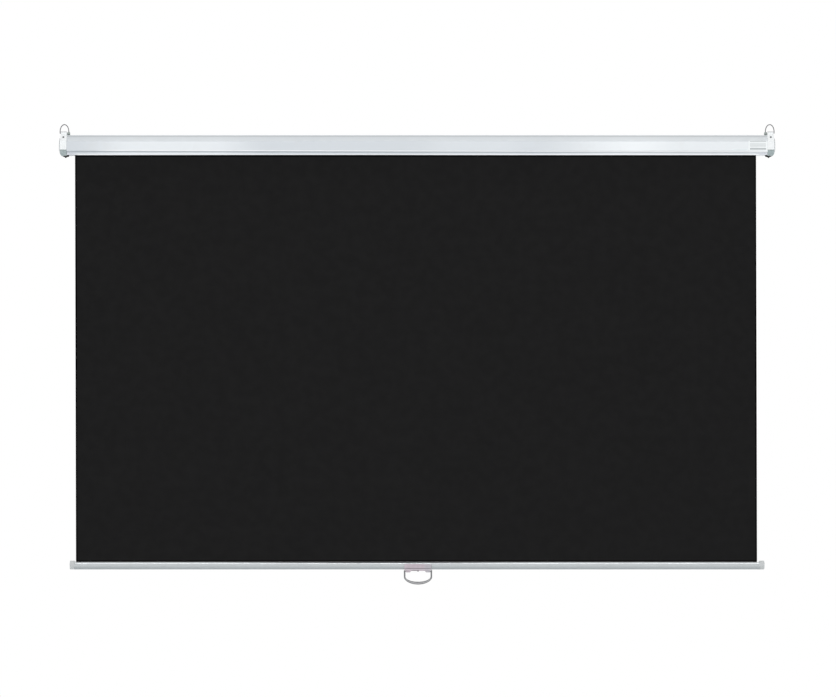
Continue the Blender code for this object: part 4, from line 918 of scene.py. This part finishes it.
def make_hem():
    """A welded hem: a ring round the rod and a double layer above it, one closed skin with a bore."""
    low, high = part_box("fabric_hem")
    rod_low, rod_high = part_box("hem_rod")
    centre_y = (rod_low.y + rod_high.y) / 2
    centre_z = (rod_low.z + rod_high.z) / 2
    outer = high.y - centre_y
    inner = outer - CLOTH_THICKNESS
    neck = math.asin(CLOTH_THICKNESS / outer)
    sweep = math.tau - 2 * neck

    def round_rod(radius, angle):
        """A place on the loop and how far along the cloth it lies."""
        y = centre_y + radius * math.cos(angle)
        return y, centre_z + radius * math.sin(angle), radius * angle

    start = math.pi / 2 + neck
    points = [round_rod(outer, start + sweep * i / HEM_STEPS) for i in range(HEM_STEPS + 1)]
    run = points[-1][2]
    points.append((centre_y + CLOTH_THICKNESS, high.z, run + high.z - points[-1][1]))
    points.append((centre_y - CLOTH_THICKNESS, high.z, points[-1][2] + 2 * CLOTH_THICKNESS))
    bore = [round_rod(inner, math.tau * i / HEM_STEPS) for i in range(HEM_STEPS)]
    shape = bmesh.new()
    uv = shape.loops.layers.uv.new("cloth")
    xs = steps_between([low.x, high.x], SWEPT_COLUMNS)
    runs = {}
    layers = [swept_rings(shape, outline, xs, runs) for outline in (points, bore)]
    for rings in layers:
        join_rings(shape, rings)
    for end in (0, -1):
        edges = []
        for rings in layers:
            ring = rings[end]
            edges += [shape.edges.get((ring[i], ring[(i + 1) % len(ring)])) for i in range(len(ring))]
        bmesh.ops.triangle_fill(shape, use_beauty=True, use_dissolve=False, edges=edges)
    bmesh.ops.recalc_face_normals(shape, faces=shape.faces)
    hem = cloth_from("cloth_hem", shape, uv, runs, MATERIALS["cloth_line"])
    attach(hem, "bar")
    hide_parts("fabric_hem")


# Stickers


def make_sticker(name, place, material):
    """A sticker with rounded corners on the case's front."""
    left, low, right, high = place
    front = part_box("case_housing")[0].y
    corners = (
        (right - STICKER_CORNER, high - STICKER_CORNER, 0),
        (left + STICKER_CORNER, high - STICKER_CORNER, 90),
        (left + STICKER_CORNER, low + STICKER_CORNER, 180),
        (right - STICKER_CORNER, low + STICKER_CORNER, 270),
    )
    outline = []
    for x, z, start in corners:
        for step in range(CORNER_STEPS + 1):
            angle = math.radians(start + 90 * step / CORNER_STEPS)
            outline.append((x + STICKER_CORNER * math.cos(angle), z + STICKER_CORNER * math.sin(angle)))
    depths = (front + STICKER_THICKNESS / 4, front - STICKER_THICKNESS)
    sticker = skin(name, [[(x, y, z) for x, z in outline] for y in depths], material)
    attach(sticker, "case")


# Rings and pull handle


def make_ring(word, side):
    """The wire ring: a bend out of the tongue, an elliptical arch and a leg down into the eye."""
    node = f"hanging_ring_{word}"
    low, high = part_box(node)
    eye_low, eye_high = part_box(f"ring_barrel_{word}")
    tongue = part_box(f"end_cap_{word}")[1].z
    radius = (high.y - low.y) / 2
    pivot = (eye_low.z + eye_high.z) / 2
    ends = (low.x + radius, high.x - radius)
    outer, inner = ends if side < 0 else ends[::-1]
    rise = high.z - radius - tongue
    path = [(outer - side * RING_STUB, pivot)]
    for i in range(RING_BEND_STEPS + 1):
        angle = -math.pi / 2 + math.pi / 2 * i / RING_BEND_STEPS
        along = RING_BEND * (1 - math.cos(angle))
        path.append((outer - side * along, pivot + RING_BEND * (1 + math.sin(angle))))
    middle, half = (outer + inner) / 2, (outer - inner) / 2
    for i in range(RING_STEPS + 1):
        angle = math.pi * i / RING_STEPS
        path.append((middle + half * math.cos(angle), tongue + rise * math.sin(angle)))
    path.append((inner, pivot + radius / 2))
    rings = round_wire(path, radius, (low.y + high.y) / 2)
    ring = skin(f"wire_ring_{word}", rings, MATERIALS["ring_steel"])
    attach(ring, f"ring_{word}")
    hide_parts(node)


def strap_section(thickness, depth):
    """Half of the strap's outline, from outer to inner edge: a rounded rim each side of a channel."""
    half, deep = thickness / 2, depth / 2
    lip = half * STRAP_BAND
    rim, fall = STRAP_RIM, STRAP_RIM / 2
    points = [(half - rim * (1 - math.cos(a)), -deep + rim * (1 - math.sin(a))) for a in QUARTER]
    points += [(lip + fall * (1 - math.sin(a)), -deep + fall * (1 - math.cos(a))) for a in QUARTER]
    points.append((lip - fall, -deep + rim))
    return points + [(-a, b) for a, b in reversed(points)]


def strap_path(half, pivot, drop, grip_depth):
    """The strap from eye to eye: each step's place, way out, thickness and depth."""
    eye = EYE_RADIUS
    path = []
    for i in range(EYE_STEPS):
        angle = math.pi / 2 * (1 - i / EYE_STEPS) * EYE_TOP
        path.append((half, pivot + eye * math.sin(angle), (1, 0), STRAP_LEG, 2 * eye * math.cos(angle)))
    path.append((half, pivot, (1, 0), STRAP_LEG, 2 * eye))
    path.append((half, pivot - eye, (1, 0), STRAP_LEG, LEG_DEPTH))
    first_leg = path[:]
    bend = pivot - LEG_LENGTH
    for i in range(STRAP_STEPS + 1):
        angle = math.pi * i / STRAP_STEPS
        normal = Vector((math.cos(angle) * drop, -math.sin(angle) * half)).normalized()
        grip = math.sin(angle) ** 2
        thickness = STRAP_LEG + (STRAP_GRIP - STRAP_LEG) * grip
        depth = LEG_DEPTH + (grip_depth - LEG_DEPTH) * grip
        path.append((half * math.cos(angle), bend - drop * math.sin(angle), normal, thickness, depth))
    for x, z, _, thickness, depth in reversed(first_leg):
        path.append((-x, z, (-1, 0), thickness, depth))
    return path


def make_handle():
    """The pull handle: two legs from their eyes and an elliptical grip, channelled on both faces."""
    low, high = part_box("pull_handle")
    middle_x = (low.x + high.x) / 2
    middle_y = (low.y + high.y) / 2
    half = (high.x - low.x - STRAP_LEG) / 2
    pivot = high.z - EYE_RADIUS
    drop = pivot - LEG_LENGTH - (low.z + STRAP_GRIP / 2)
    rings = []
    for x, z, normal, thickness, depth in strap_path(half, pivot, drop, high.y - low.y):
        front = strap_section(thickness, max(depth, 3 * STRAP_RIM))
        section = front + [(a, -b) for a, b in reversed(front)]
        across = middle_x + x
        rings.append([(across + normal[0] * a, middle_y + b, z + normal[1] * a) for a, b in section])
    plastic = MATERIALS["handle_plastic"]
    handle = skin("handle_bail", rings, plastic)
    handle.data.materials.append(MATERIALS["handle_channel"])
    half_outline = len(strap_section(1, 1))
    floors = (half_outline // 2 - 1, half_outline + half_outline // 2 - 1)
    for face in handle.data.polygons:
        if face.index % (2 * half_outline) in floors:
            face.material_index = 1
    for side in (-1, 1):
        place = [(middle_x + side * u, pivot) for u in (half, half - STUB_REACH)]
        fuse(handle, skin("stub", round_wire(place, STUB_RADIUS, middle_y), plastic))
    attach(handle, "handle")
    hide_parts("pull_handle")


add_camera()
add_world()
add_floor()
for lamp in LAMPS:
    add_lamp(*lamp)

SMOOTH = edge_group()
MATERIALS = {
    "white_paint": white_paint(),
    "white_plastic": white_plastic(),
    "clip_plastic": clip_plastic(),
    "handle_channel": channel_plastic(),
    "black_rubber": rubber(),
}
for finishes, make in ((PLASTICS, plain_plastic), (METALS, metal), (CLOTHS, coated_cloth)):
    for finish, look in finishes.items():
        MATERIALS[finish] = make(finish, *look)
for solid in NODES:
    dress(solid, MATERIALS[FINISH_OF.get(solid, "steel")], ROUNDED.get(solid, 0.0))

make_screen_cloth()
make_cloth_roll()
make_hem()
make_sticker("case_label", LABEL, paper("label_paper", *LABEL_COLOURS, LABEL, LABEL_RULES))
make_sticker("case_strip", STRIP, paper("strip_paper", *STRIP_COLOURS, STRIP, STRIP_RULES))
make_ring("left", -1)
make_ring("right", 1)
make_handle()

bpy.context.scene.view_settings.view_transform = "Standard"
